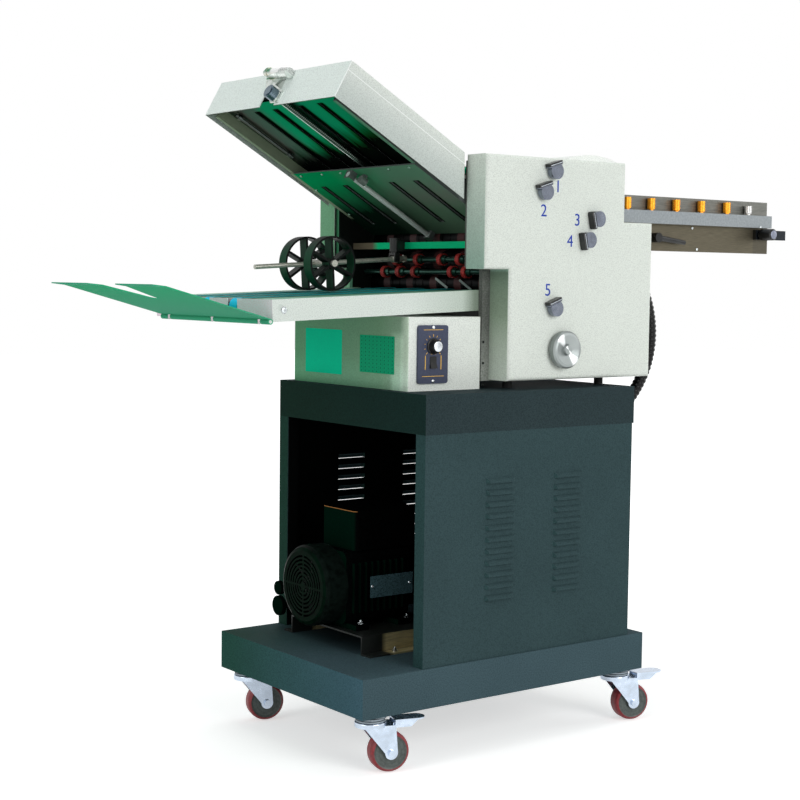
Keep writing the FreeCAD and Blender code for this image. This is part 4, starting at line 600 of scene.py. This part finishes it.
def screw_steel():
    """Bright thread as a painted highlight on one side, striped dark below as painted shade, with
    a blue-grey knob.
    """
    p = Paint("bright_screw", 0.22, 0.9)
    along = p.lengthwise(FOLD_ORIGIN, FOLD_ALONG)
    thread = p.math("FRACT", p.times(along, 250))
    thread = p.span(p.math("ABSOLUTE", p.math("SUBTRACT", thread, 0.5)), 0.1, 0.4)
    dark = p.mix(thread, colour(8, 10, 9), colour(96, 108, 100))
    light = p.mix(thread, colour(120, 138, 130), colour(200, 214, 208))
    # painted highlight on one side of the thread, painted shade on the rest
    lit = p.facing((-0.4, 0.6, -0.6), 0.1, 0.6)
    shade = p.mix(lit, dark, light)
    # the knob on the screw's free end
    knob = p.fall(along, -0.4917, -0.4913)
    haze = p.tones(p.noise(60, 3), colour(84, 100, 110), colour(108, 124, 134))
    p.base(p.mix(knob, shade, haze))
    return p.bump(thread, 0.25, 0.0004)


def pump_paint():
    """Black castings with painted green light on their left faces; the terminal box shows a warm
    painted highlight line on its top edge.
    """
    p = Paint("pump_black", 0.4, 0.0, 0.0)
    grain = p.noise(240, 3)
    shade = p.tones(grain, colour(4, 5, 5), colour(9, 11, 11), 0.36, 0.64)
    # painted green light on the left faces
    shade = p.mix(p.facing(LEFT), shade, colour(4, 26, 18))
    # a warm painted highlight line on the terminal box's top edge
    line = p.times(p.band(p.axis(2), 0.4402, 0.4420, 0.0003), p.facing(LEFT, 0.1, 0.4))
    p.base(p.mix(line, shade, colour(176, 120, 70)))
    return p.bump(grain, 0.4, 0.0006)


def bracket_zinc():
    """Yellow zinc on its near web and toe; painted shadow over the rest."""
    p = Paint("yellow_zinc", 0.42, 0.35)
    lines = p.noise(22, 4, (2, 30, 30))
    zinc = p.tones(lines, colour(180, 166, 126), colour(222, 206, 158))
    # painted shadow everywhere but the near web and toe
    lit = p.math("MAXIMUM", p.facing(NEAR, 0.5, 0.9), p.fall(p.axis(1), -0.130, -0.129))
    lit = p.times(lit, p.span(p.axis(0), -0.262, -0.250))
    p.base(p.mix(lit, colour(26, 30, 28), zinc))
    return p.bump(lines, 0.12, 0.0002)


def press_wheel_paint():
    """Black moulding with a painted green reflection on its left faces."""
    p = Paint("wheel_black", 0.42, 0.0, 0.08)
    grain = p.noise(700, 2)
    shade = p.tones(grain, colour(10, 13, 12), colour(18, 22, 21))
    # painted green reflection on the left faces
    p.base(p.mix(p.facing(LEFT), shade, colour(0, 64, 40)))
    return p.bump(grain, 0.1, 0.0002)


def casing_paint(white):
    """Off-white shell with painted shade on its side and underside, painted highlights on its
    seam and corner and painted light on its end; steel strap and barrel on its end, the barrel
    tinted by painted light.
    """
    p, shade = speckled("speckled_white_casing", white)
    along = p.lengthwise(FOLD_ORIGIN, FOLD_ALONG)
    above = p.lengthwise(FOLD_ORIGIN, FOLD_UP)
    # painted shade down the near side, darker lower down
    side = p.facing(NEAR, 0.6, 0.95)
    tone = p.ramp(p.span(above, -0.027, 0.048),
                  [(0.0, colour(214, 218, 220)), (0.36, colour(224, 227, 229)),
                   (0.63, colour(237, 238, 240)), (1.0, colour(249, 249, 250))])
    shade = p.cast(side, shade, tone)
    # painted highlights along the seam and the end's corner
    seam = p.times(side, p.math("MAXIMUM", p.band(above, 0.0292, 0.0306, 0.0003),
                                p.fall(along, -0.4836, -0.4830)))
    shade = p.mix(p.times(seam, 0.7), shade, colour(252, 254, 253))
    # painted shade on the underside
    under = p.facing(FOLD_DOWN, 0.6, 0.95)
    shade = p.mix(under, shade, colour(66, 76, 62))
    # painted light on the end face
    end = p.facing((-FOLD_COS, 0, FOLD_SIN), 0.7, 0.95)
    shade = p.cast(end, shade, colour(278, 282, 286))
    # the hand bracket on the end: its strap, barrel, cone and knurled ring, with painted
    # highlight and shade on the barrel, a painted green reflection on the cone and painted glints
    # on the ring
    y = p.axis(1)
    haze = p.tones(p.noise(70, 4), colour(176, 186, 180), colour(232, 236, 232))
    barrel = p.span(above, 0.0335, 0.0340)
    lit = p.mix(p.facing((-0.6, 0, 0.8), 0.0, 0.7), colour(206, 200, 180), colour(246, 247, 246))
    cone = p.times(p.span(y, 0.030, 0.036), p.facing((0, 0.3, 1), -0.2, 0.3))
    lit = p.mix(cone, lit, colour(60, 130, 95))
    spark = p.tones(p.noise(1400, 1), colour(110, 118, 114), colour(248, 250, 248), 0.42, 0.6)
    lit = p.mix(p.fall(y, 0.0, 0.002), lit, spark)
    haze = p.mix(barrel, haze, lit)
    steel = p.fall(along, -0.4858, -0.4854)
    p.base(p.mix(steel, shade, haze))
    p.feed("Metallic", p.times(steel, p.span(barrel, 0, 1, 0.8, 0.4)))
    p.feed("Roughness", p.span(steel, 0, 1, 0.5, 0.25))
    return p.material


def box_paint(white):
    """Off-white box with painted green light and shade on its left face, greener towards its far
    end.
    """
    p, shade = speckled("speckled_white_box", white, 0.15)
    # painted green light and shade on the left face
    depth = p.span(p.axis(1), -0.19, 0.17)
    tone = p.ramp(depth, [(0.0, colour(214, 232, 214)), (0.055, colour(150, 180, 156)),
                          (0.23, colour(124, 166, 134)), (0.5, colour(112, 160, 128)),
                          (1.0, colour(100, 164, 122))])
    left = p.facing(LEFT)
    shade = p.cast(left, shade, tone)
    # painted light along the near edge, below the table's shadow
    low = p.times(p.fall(p.axis(2), 0.775, 0.79), p.band(p.axis(1), -0.180, -0.145, 0.006))
    shade = p.cast(p.times(left, low), shade, colour(318, 308, 316))
    # painted light towards the foot
    low = p.times(p.fall(p.axis(2), 0.70, 0.74), 0.8)
    shade = p.cast(p.times(left, low), shade, colour(292, 292, 300))
    p.base(shade)
    return p.material


def tray_paint():
    """Enamel with a painted green reflection of the backdrop, strongest near its free end."""
    p = Paint("tray_enamel", 0.65, 0.0, 0.03)
    fleck = p.noise(520, 3)
    # painted green reflection, strongest near the free end
    low = p.span(p.axis(0), -0.78, -0.60)
    base = p.ramp(low, [(0.0, colour(48, 168, 128)), (0.15, colour(14, 172, 116)),
                        (1.0, colour(58, 166, 126))])
    shade = p.mix(p.span(fleck, 0.35, 0.65, 0.0, 0.2), base, colour(120, 190, 160))
    p.base(shade)
    return p.bump(fleck, 0.3, 0.0004)


def feed_steel():
    """Brown oiled side plates, bluish ground rails, grey bed and a dark block."""
    p = Paint("oiled_steel", 0.42, 0.85)
    lines = p.noise(22, 4, (2, 40, 60))
    brown = p.tones(lines, colour(78, 73, 60), colour(100, 94, 78))
    blue = p.tones(p.noise(240, 3), colour(126, 132, 136), colour(142, 148, 150))
    grey = p.tones(lines, colour(92, 93, 89), colour(122, 122, 116))
    height = p.axis(2)
    # greyer above the rails, bluish on them, dark on the guide knob's block
    brown = p.mix(p.span(height, 1.0318, 1.0323), brown, grey)
    rail = p.times(p.span(height, 1.0053, 1.0058), p.fall(height, 1.0318, 1.0323))
    block = p.times(p.span(p.axis(0), 0.6897, 0.6901), p.fall(p.axis(1), -0.1868, -0.1864))
    block = p.times(block, p.fall(height, 1.0025, 1.0035))
    shade = p.mix(block, p.mix(rail, brown, blue), colour(30, 35, 40))
    p.base(shade)
    return p.bump(lines, 0.15, 0.0003)


def fold_sheet_steel():
    """Sheets with a painted green reflection towards their free end and painted shade by the
    slots; throat plate with a painted green reflection; bright rod.
    """
    p = Paint("rolled_sheet", 0.34, 0.9, 0.0)
    # a green specular tint, for the painted green reflection
    p.feed("Specular Tint", (0.03, 0.35, 0.3, 1))
    along = p.lengthwise(FOLD_ORIGIN, FOLD_ALONG)
    above = p.lengthwise(FOLD_ORIGIN, FOLD_UP)
    y = p.axis(1)
    streak = p.span(p.noise(6, 4, (1, 14, 1)), 0.3, 0.7, -0.1, 0.1)
    under = p.facing(FOLD_DOWN, 0.7, 0.95)
    # the sheet between the rails: a painted green reflection, fading to dark away from the free
    # end
    across = p.mix(p.span(y, 0.095, 0.13), colour(48, 130, 98), colour(100, 94, 88))
    fade = p.math("SUBTRACT", along, p.times(y, 0.2))
    fade = p.span(p.math("ADD", fade, p.times(streak, 0.2)), -0.365, -0.300)
    sheet = p.mix(fade, across, colour(36, 46, 38))
    # painted shade in wide dark bands along the slots
    slots = p.near_lines(y, (-0.0885, -0.025, 0.061, 0.125), 0.010, 0.003)
    slots = p.times(slots, p.band(along, -0.446, -0.120))
    sheet = p.mix(slots, sheet, colour(24, 29, 25))
    # the throat plate, with a painted green reflection on its far part
    lengthy = p.span(p.math("ADD", along, p.times(streak, 0.1)), -0.235, -0.110)
    far = p.ramp(lengthy, [(0.0, colour(6, 146, 92)), (0.6, colour(32, 104, 70)),
                           (1.0, colour(12, 34, 24))])
    near = p.ramp(lengthy, [(0.0, colour(98, 138, 114)), (0.6, colour(112, 124, 112)),
                            (1.0, colour(98, 126, 104))])
    throat = p.mix(p.span(y, -0.08, 0.11), near, far)
    ends = p.near_lines(y, (-0.132, -0.056, 0.098, 0.174), 0.0095, 0.002)
    ends = p.times(ends, p.band(along, -0.216, -0.070))
    throat = p.mix(ends, throat, colour(6, 10, 8))
    low = p.fall(above, -0.0206, -0.0200)
    green = p.mix(low, sheet, throat)
    # the far rail
    olive = p.times(p.span(y, 0.2165, 0.2175), p.fall(along, -0.10, -0.09))
    green = p.mix(olive, green, colour(140, 150, 128))
    steel = p.tones(streak, colour(96, 102, 100), colour(140, 146, 144), 0.0, 1.0)
    shade = p.mix(p.math("MAXIMUM", under, olive), steel, green)
    # a bright rod under the throat plate, and the round knob beside it
    rod = p.fall(p.radial(on_plate(0, 21, -36), FOLD_ALONG), 0.0054, 0.0058)
    knob = p.fall(p.radial(on_plate(-244, -5, -39), FOLD_ALONG), 0.0085, 0.009)
    knob = p.times(knob, p.fall(along, -0.236, -0.235))
    shade = p.mix(rod, shade, colour(206, 210, 208))
    shade = p.mix(p.times(knob, p.fall(above, -0.0305, -0.030)), shade, colour(110, 118, 114))
    dull = p.math("MAXIMUM", low, olive)
    p.base(shade)
    p.feed("Metallic", p.span(dull, 0, 1, 0.9, 0.15))
    return p.bump(streak, 0.1, 0.0003)


def belt_weave():
    """Woven blue-green belt with painted light where it turns down over the tail roller."""
    p = Paint("woven_belt", 0.55, 0.0, 0.2)
    weave = p.times(p.math("SINE", p.times(p.axis(0), 3600)),
                    p.math("SINE", p.times(p.axis(1), 3600)))
    shade = p.tones(p.span(weave, -1, 1), colour(0, 112, 116), colour(30, 168, 170), 0.2, 0.8)
    dirt = p.span(p.noise(25, 4), 0.45, 0.8, 0.0, 0.4)
    shade = p.mix(dirt, shade, colour(40, 70, 70))
    # painted light where the belt turns down, facing left
    turn = p.facing(LEFT, 0.1, 0.6)
    p.base(p.mix(turn, shade, colour(0, 214, 255)))
    return p.bump(weave, 0.3, 0.0003)


# ---- mesh helpers ----
def new_piece(name, bm, material, body=STAND):
    """Makes a drawn shape into a piece that rides on a body."""
    mesh = finish_mesh(bm, name)
    mesh.materials.append(material)
    piece = put(name, mesh)
    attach(piece, body)
    return piece


def finish_mesh(bm, name, smooth=True):
    """Turns a drawn shape into a mesh, shaded smooth up to 35 degrees."""
    bmesh.ops.recalc_face_normals(bm, faces=bm.faces)
    mesh = bpy.data.meshes.new(name)
    bm.to_mesh(mesh)
    bm.free()
    if smooth:
        mesh.shade_smooth()
        mesh.set_sharp_from_angle(angle=math.radians(35))
    return mesh


def frame_at(at, axis, side=None):
    """A matrix whose z looks along axis, placed at a point in millimetres."""
    w = Vector(axis).normalized()
    u = Vector(side) if side else w.orthogonal()
    u = (u - w * u.dot(w)).normalized()
    turn = Matrix((u, w.cross(u), w)).transposed().to_4x4()
    return Matrix.Translation(Vector(at) * MM) @ turn


def skin(bm, rings):
    """Joins rings of points with faces and closes both ends."""
    for low, high in zip(rings, rings[1:]):
        for index in range(len(low)):
            after = (index + 1) % len(low)
            bm.faces.new((low[index], low[after], high[after], high[index]))
    bm.faces.new(rings[0][::-1])
    bm.faces.new(rings[-1])


def lathe(bm, profile, matrix, steps=28, cross=0.0):
    """Turns (radius, height) points in mm; cross sinks a crossed recess in the top."""
    rings = []
    for radius, height in profile:
        ring = []
        for index in range(steps):
            angle = 2 * math.pi * index / steps
            x, y = radius * math.cos(angle), radius * math.sin(angle)
            recessed = radius < cross * 3.2 and min(abs(x), abs(y)) < cross
            z = height - cross if recessed else height
            ring.append(bm.verts.new(matrix @ Vector((x * MM, y * MM, z * MM))))
        rings.append(ring)
    skin(bm, rings)


# turned parts of a fastener: steps, recess, and points as (share of the radius, height)
CROSS_HEAD = ((32, 0.13, ((1, 0), (1, 0.5), (0.86, 1.3), (0.6, 1.8), (0.45, 1.9), (0.3, 1.95),
                          (0.12, 2.0))),)
NUT_ON_STUD = ((28, 0, ((1.35, 0), (1.35, 0.6))),
               (6, 0, ((1, 0.6), (1, 3.6), (0.85, 4.2))),
               (16, 0, ((0.5, 4.2), (0.5, 7.2), (0.4, 7.8))))


def screws(name, places, axis, radius, material, parts=CROSS_HEAD):
    """One piece that holds the fasteners at all the places."""
    bm = bmesh.new()
    for at in places:
        matrix = frame_at(at, axis)
        for steps, cross, points in parts:
            lathe(bm, [(radius * k, z) for k, z in points], matrix, steps, radius * cross)
    new_piece(name, bm, material)


def rounded_outline(width, height, corner, steps=5):
    """Points of a rectangle with round corners, about its middle."""
    points = []
    for sx, sy, turn in ((1, 1, 0), (-1, 1, 1), (-1, -1, 2), (1, -1, 3)):
        for index in range(steps + 1):
            angle = math.radians(90 * turn + 90 * index / steps)
            points.append((sx * (width / 2 - corner) + corner * math.cos(angle),
                           sy * (height / 2 - corner) + corner * math.sin(angle)))
    return points


def slab(bm, outline, matrix, low, high, chamfer=0.0):
    """A prism over an outline in mm, with its top edge chamfered inwards."""
    levels = [(0, low), (0, high - chamfer)] + ([(chamfer, high)] if chamfer else [])
    rings = []
    for inset, level in levels:
        ring = []
        for x, y in outline:
            size = max(math.hypot(x, y), 0.001)
            k = (size - inset) / size
            ring.append(bm.verts.new(matrix @ Vector((x * k * MM, y * k * MM, level * MM))))
        rings.append(ring)
    skin(bm, rings)


def sticker(name, at, axis, side, width, height, material):
    """A thin plate with round corners, its width along side."""
    bm = bmesh.new()
    slab(bm, rounded_outline(width, height, 2.0), frame_at(at, axis, side), 0, 0.5, 0.15)
    new_piece(name, bm, material)


def on_fold_plate(x, y, z):
    """A point given along, across and above the fold plate, in millimetres."""
    return (FOLD_X + FOLD_COS * x + FOLD_SIN * z, y, FOLD_Z - FOLD_SIN * x + FOLD_COS * z)


def on_plate(x, y, z):
    """The same point in metres."""
    return tuple(v * MM for v in on_fold_plate(x, y, z))


# ---- hose ----
def add_hose():
    """Ribbed hose on the route's smooth line, with a cuff at each end."""
    route = [(302, -160, 938), (341, -162, 915), (374, -164, 876), (394, -166, 828),
             (401, -167, 775), (394, -166, 722), (374, -163, 675), (343, -160, 636),
             (305, -157, 606), (263, -155, 590)]
    line = bpy.data.curves.new("hose_line", "CURVE")
    line.dimensions = "3D"
    line.resolution_u = 24
    spline = line.splines.new("NURBS")
    spline.points.add(len(route) - 1)
    for point, at in zip(spline.points, route):
        point.co = tuple(v * MM for v in at) + (1,)
    spline.order_u = 3
    spline.use_endpoint_u = True
    carrier = put("hose_line", line)
    mesh = bpy.data.meshes.new_from_object(carrier)
    path = [v.co.copy() for v in mesh.vertices]
    bpy.data.objects.remove(carrier)
    material = plastic("ribbed_hose", colour(8, 9, 9), 0.24, specular=0.16, dusty=0.02)
    piece = new_piece("suction_hose_ribbed", ribbed_tube(path), material)
    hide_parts("suction_hose")


def evenly(path, gap):
    """Points every gap metres along a polyline."""
    points = [path[0].copy()]
    spare = 0.0
    for a, b in zip(path, path[1:]):
        length = (b - a).length
        at = gap - spare
        while at < length:
            points.append(a.lerp(b, at / length))
            at += gap
        spare = length - (at - gap)
    points.append(path[-1].copy())
    return points


def ribbed_tube(path):
    """Rings of points along the path; the first and last ones are the smooth cuffs."""
    ring_gap, steps, cuff_rings, cuff_radius = 1.6 * MM, 24, 14, 13.0
    rib_radii = (12.8, 12.6, 11.8, 11.3, 11.8, 12.6)
    points = evenly(path, ring_gap)
    bm = bmesh.new()
    rings = []
    across = Vector(FAR)
    last = len(points) - 1
    for index, at in enumerate(points):
        ahead = (points[min(index + 1, last)] - points[max(index - 1, 0)]).normalized()
        across = (across - ahead * across.dot(ahead)).normalized()
        up = ahead.cross(across)
        cuff = index < cuff_rings or index > last - cuff_rings
        radius = cuff_radius if cuff else rib_radii[index % len(rib_radii)]
        rings.append([bm.verts.new(at + (across * math.cos(t) + up * math.sin(t)) * radius * MM)
                      for t in (2 * math.pi * k / steps for k in range(steps))])
    skin(bm, rings)
    return bm


# ---- details ----
def add_numerals():
    """Plain numbers beside the gap knobs."""
    ink = plastic("numeral_blue", colour(24, 62, 168), 0.5, specular=0.1)
    places = ((51, 1064), (16, 1017), (103, 1002), (85, 961), (30, 867))
    for number, (x, z) in enumerate(places, 1):
        text = bpy.data.curves.new("numeral_%d" % number, "FONT")
        text.body = str(number)
        text.size = 33 * MM
        text.extrude = 0.15 * MM
        text.align_x = text.align_y = "CENTER"
        text.materials.append(ink)
        piece = put("numeral_%d" % number, text)
        piece.matrix_world = frame_at((x, COVER_FACE_Y - 0.2, z), NEAR, RIGHT)
        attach(piece, STAND)


def add_labels():
    """Bare coloured plates where the machine carries its labels."""
    bright = paint("label_green", colour(0, 208, 160), grain=700, contrast=0.05, roughness=0.5,
                   depth=0.00005, specular=0.04)
    grid = grid_paint()
    sticker("label_plain", (BOX_FACE_X, 79, 742.5), LEFT, NEAR, 126, 87, bright)
    sticker("label_grid", (BOX_FACE_X, -99, 743.5), LEFT, NEAR, 110, 71, grid)


def grid_paint():
    """Plain ruled grid with a dot in each cell."""
    p = Paint("label_grid_green", 0.5, 0.0, 0.04)
    y = p.math("ADD", p.axis(1), 0.154)
    z = p.math("ADD", p.axis(2), -0.708)
    cells = []
    for value, pitch in ((y, 0.0122), (z, 0.0071)):
        part = p.math("FRACT", p.math("DIVIDE", value, pitch))
        cells.append(p.math("ABSOLUTE", p.math("SUBTRACT", part, 0.5)))
    away = p.math("MAXIMUM", cells[0], p.times(cells[1], 0.6))
    dots = p.fall(away, 0.1, 0.14)
    lines = p.span(p.math("MAXIMUM", cells[0], cells[1]), 0.46, 0.48)
    base = p.tones(p.noise(500, 2), colour(10, 156, 110), colour(20, 172, 124))
    shade = p.mix(p.times(lines, 0.25), base, colour(4, 88, 60))
    p.base(p.mix(p.times(dots, 0.65), shade, colour(6, 74, 52)))
    return p.material


def add_panel_marks():
    """Gold dial ticks, ruled lines and screws on the speed panel, and its knob's cap."""
    gold = brushed("gilt_print", colour(196, 158, 78), (20, 20, 20), 0.4)
    bm = bmesh.new()
    ticks, first_turn, turn_step, dial_radius, print_height = 11, -40, 26, 20, 0.25
    for index in range(ticks):
        angle = math.radians(first_turn + turn_step * index)
        x, z = math.cos(angle), math.sin(angle)
        at = (PANEL_X + dial_radius * x, PANEL_FACE_Y, DIAL_Z + dial_radius * z)
        length = 5.04 if index % 5 == 0 else 3.42
        matrix = frame_at(at, NEAR, (x, 0, z))
        slab(bm, rounded_outline(length, 1.2, 0.4, 2), matrix, 0, print_height)
    for x, z, width, height in ((PANEL_X, 792.5, 46, 1.0), (PANEL_X, 706.5, 52, 1.0),
                                (-186.5, 732, 1.6, 26), (-223.5, 732, 1.6, 26),
                                (PANEL_X, 747.5, 12, 1.0)):
        matrix = frame_at((x, PANEL_FACE_Y, z), NEAR, RIGHT)
        slab(bm, rounded_outline(width, height, 0.4, 2), matrix, 0, print_height)
    new_piece("panel_marks", bm, gold)
    steel = plated("small_screw_zinc", colour(206, 210, 212), 0.25)
    screws("panel_screws", [(PANEL_X, PANEL_FACE_Y, z) for z in (797, 697.5)], NEAR, 3.4, steel)
    bm = bmesh.new()
    matrix = frame_at((PANEL_X, PANEL_FACE_Y - 15.2, DIAL_Z), NEAR, RIGHT)
    lathe(bm, [(9.6, 0), (9.6, 0.35), (8.9, 0.7), (0.5, 0.75)], matrix, 36)
    pointer = frame_at((PANEL_X, PANEL_FACE_Y - 15.4, DIAL_Z), NEAR, (0.5, 0, 0.86))
    shifted = pointer @ Matrix.Translation(Vector((4 * MM, 0, 0.5 * MM)))
    slab(bm, rounded_outline(7, 1.1, 0.4, 2), shifted, 0, 0.35)
    cap = plated("speed_knob_cap", colour(196, 200, 204), 0.22)
    new_piece("speed_knob_cap", bm, cap, "speed_knob")


def add_gap_knob_grips():
    """Black bar on each gap knob's flat side, with a bright strip as a painted highlight; turns
    are in degrees.
    """
    black = plastic("grip_black", colour(12, 13, 15), 0.32, coat=0.2)
    bright = plated("grip_highlight", colour(206, 214, 222), 0.2)
    turns = {1: (37, 1093, 107), 2: (13, 1053, 107), 3: (150, 1006, 192), 4: (127, 965, 192),
             5: (43, 833, 110)}
    knob_middle, flat_radius = 8.2, 11.4
    for number, (x, z, turn) in turns.items():
        angle = math.radians(turn)
        out = Vector((math.cos(angle), 0, math.sin(angle)))
        at = Vector((x, COVER_FACE_Y - knob_middle, z)) + out * flat_radius
        bm = bmesh.new()
        matrix = frame_at(at, out, NEAR)
        slab(bm, rounded_outline(15.0, 34.0, 2.0, 3), matrix, 0.0, 6.2, 1.0)
        new_piece("gap_knob_grip_%d" % number, bm, black, "gap_knob_%d" % number)
        # a bright strip as the bar's painted highlight
        bm = bmesh.new()
        edge = frame_at(at + out * 2.2 - Vector((0, 7.5, 0)), NEAR, out)
        slab(bm, rounded_outline(1.2, 30.0, 0.5, 2), edge, 0.0, 0.25)
        new_piece("gap_knob_line_%d" % number, bm, bright, "gap_knob_%d" % number)


def add_screws():
    """Screws of the table, feed plates, throat plate and frame, and the pump's bolts."""
    zinc = plated("screw_zinc", colour(196, 202, 204), 0.25)
    screws("table_screw", [(-524, -186.8, 829)], NEAR, 6.0, zinc)
    feed = [(x, FEED_FACE_Y, z) for x, z in ((497, 1000), (512.5, 955.5))]
    screws("feed_plate_screws", feed, NEAR, 3.2, zinc)
    screws("feed_block_screw", [(697, -200.5, 1007)], NEAR, 3.0, zinc)
    throat = [on_fold_plate(-258, y, -27) for y in (-160, -96, 60, 125, 200)]
    throat += [on_fold_plate(x, 212, -27) for x in (-205, -110)]
    dull = plated("throat_screw_steel", colour(110, 140, 125), 0.3)
    screws("throat_screws", throat, FOLD_DOWN, 3.0, dull)
    black = plated("frame_screw_black", colour(40, 44, 42), 0.3)
    frame_row = [(-80.5, FRAME_FACE_Y, z) for z in (768, 728, 686)]
    screws("frame_screws", frame_row, NEAR, 2.6, black)
    bracket = [(x, -141, 183.2) for x in (-150, -240)]
    screws("bracket_bolts", bracket, UP, 4.5, zinc, NUT_ON_STUD)
    feet = [(x, -74, 226.6) for x in (-272, -162)]
    screws("pump_foot_bolts", feet, UP, 5.0, zinc, NUT_ON_STUD)


def add_pump_details():
    """Bare rating plate on the fins' edge, with two screws."""
    bare = paint("bare_plate", colour(78, 108, 116), grain=600, contrast=0.3, roughness=0.5,
                 specular=0.1)
    sticker("pump_plate", (-198, -72.05, 294.5), NEAR, RIGHT, 102, 42, bare)
    zinc = plated("plate_screw_zinc", colour(220, 228, 232), 0.2)
    screws("plate_screws", [(-244.5, -72.5, 296), (-155, -72.5, 295)], NEAR, 3.2, zinc)


def add_small_fittings():
    """Stiffener inside the casing's end wall, and the guide knob's cap."""
    shell = paint("stiffener_white", colour(206, 214, 208))
    bm = bmesh.new()
    middle = on_fold_plate(-483.4, 21, 20)
    slab(bm, rounded_outline(54, 36, 1, 2), frame_at(middle, FOLD_ALONG, FAR), 0, 1.2)
    new_piece("casing_end_stiffener", bm, shell)
    cap = plated("guide_knob_cap", colour(122, 126, 140), 0.35)
    bm = bmesh.new()
    matrix = frame_at((707, -229.8, 991), NEAR)
    lathe(bm, [(9.4, 0), (9.4, 0.4), (8.6, 0.8), (0.5, 0.9)], matrix)
    new_piece("guide_knob_cap", bm, cap, "guide_knob")


def add_finger_strips():
    """Thin guide strips between the delivery shafts and the belts."""
    steel = brushed("strip_steel", colour(120, 132, 128), (4, 30, 30), 0.35)
    bm = bmesh.new()
    for first, second in (((-29, 888), (-68, 869)), ((-104.5, 885), (-141.6, 866))):
        a, b = Vector((-66, *first)), Vector((-66, *second))
        matrix = frame_at((a + b) / 2, LEFT, b - a)
        slab(bm, rounded_outline((b - a).length, 5, 1.2, 3), matrix, 0, 1.2, 0.2)
    new_piece("finger_strips", bm, steel)


# ---- light and ground ----
def add_light(name, at, target, size, power):
    """White area lamp in metres and watts, turned towards target."""
    data = bpy.data.lights.new(name, "AREA")
    data.shape = "RECTANGLE"
    data.size, data.size_y = size
    data.energy = power
    lamp = put(name, data)
    lamp.location = at
    lamp.rotation_euler = (Vector(target) - Vector(at)).to_track_quat("-Z", "Y").to_euler()


def direct_rays(tree):
    """1 for what is seen straight, through glass or mirrored, 0 for diffuse light."""
    rays = tree.nodes.new("ShaderNodeLightPath").outputs
    seen = math_node(tree, "ADD", rays["Is Camera Ray"], rays["Is Transmission Ray"], clamp=True)
    return math_node(tree, "ADD", seen, rays["Is Glossy Ray"], clamp=True)


def add_world():
    """White where it is seen, a dim green-white where it only lights."""
    world = bpy.data.worlds.new("studio")
    bpy.context.scene.world = world
    world.use_nodes = True
    tree = world.node_tree
    tree.nodes.clear()
    choose = tree.nodes.new("ShaderNodeMixShader")
    connect(choose.inputs[0], direct_rays(tree))
    for socket, shade, strength in ((1, (0.93, 1.0, 0.97, 1), 0.3), (2, (1, 1, 1, 1), 1.0)):
        glow = tree.nodes.new("ShaderNodeBackground")
        glow.inputs["Color"].default_value = shade
        glow.inputs["Strength"].default_value = strength
        connect(choose.inputs[socket], glow.outputs[0])
    connect(tree.nodes.new("ShaderNodeOutputWorld").inputs[0], choose.outputs[0])


def add_floor():
    """Pale floor that turns white, as seen, away from the machine."""
    bm = bmesh.new()
    bmesh.ops.create_grid(bm, x_segments=2, y_segments=2, size=14)
    mesh = finish_mesh(bm, "floor", False)
    p = Paint("pale_floor", 0.9, specular=0.0)
    p.base(p.tones(p.noise(3, 4), (0.86, 0.86, 0.86, 1), (0.9, 0.9, 0.9, 1)))
    away = p.span(p.radial((0, 0, 0), UP), 0.9, 2.4, 0.55, 1.0)
    p.feed("Emission Color", (1, 1, 1, 1))
    p.feed("Emission Strength", p.times(direct_rays(p.tree), away))
    mesh.materials.append(p.material)
    floor = put("floor", mesh)
    floor.location.z = -0.5 * MM


def add_lights():
    """Four lamps round the machine."""
    bpy.context.scene.view_settings.view_transform = "Standard"
    add_light("key", (0.3, -4.6, 2.1), (0, 0, 0.7), (2.6, 2.6), 104)
    add_light("left", (-3.6, -0.4, 1.6), (-0.2, 0, 0.7), (2.0, 2.4), 30)
    add_light("top", (0.2, 0.4, 3.8), (0, 0, 0.8), (2.6, 2.6), 46)
    add_light("right", (3.4, -1.2, 1.9), (0.3, 0, 0.8), (1.6, 2.0), 18)


add_camera()
add_hose()
dress_nodes()
add_numerals()
add_labels()
add_panel_marks()
add_gap_knob_grips()
add_screws()
add_pump_details()
add_small_fittings()
add_finger_strips()
add_world()
add_floor()
add_lights()
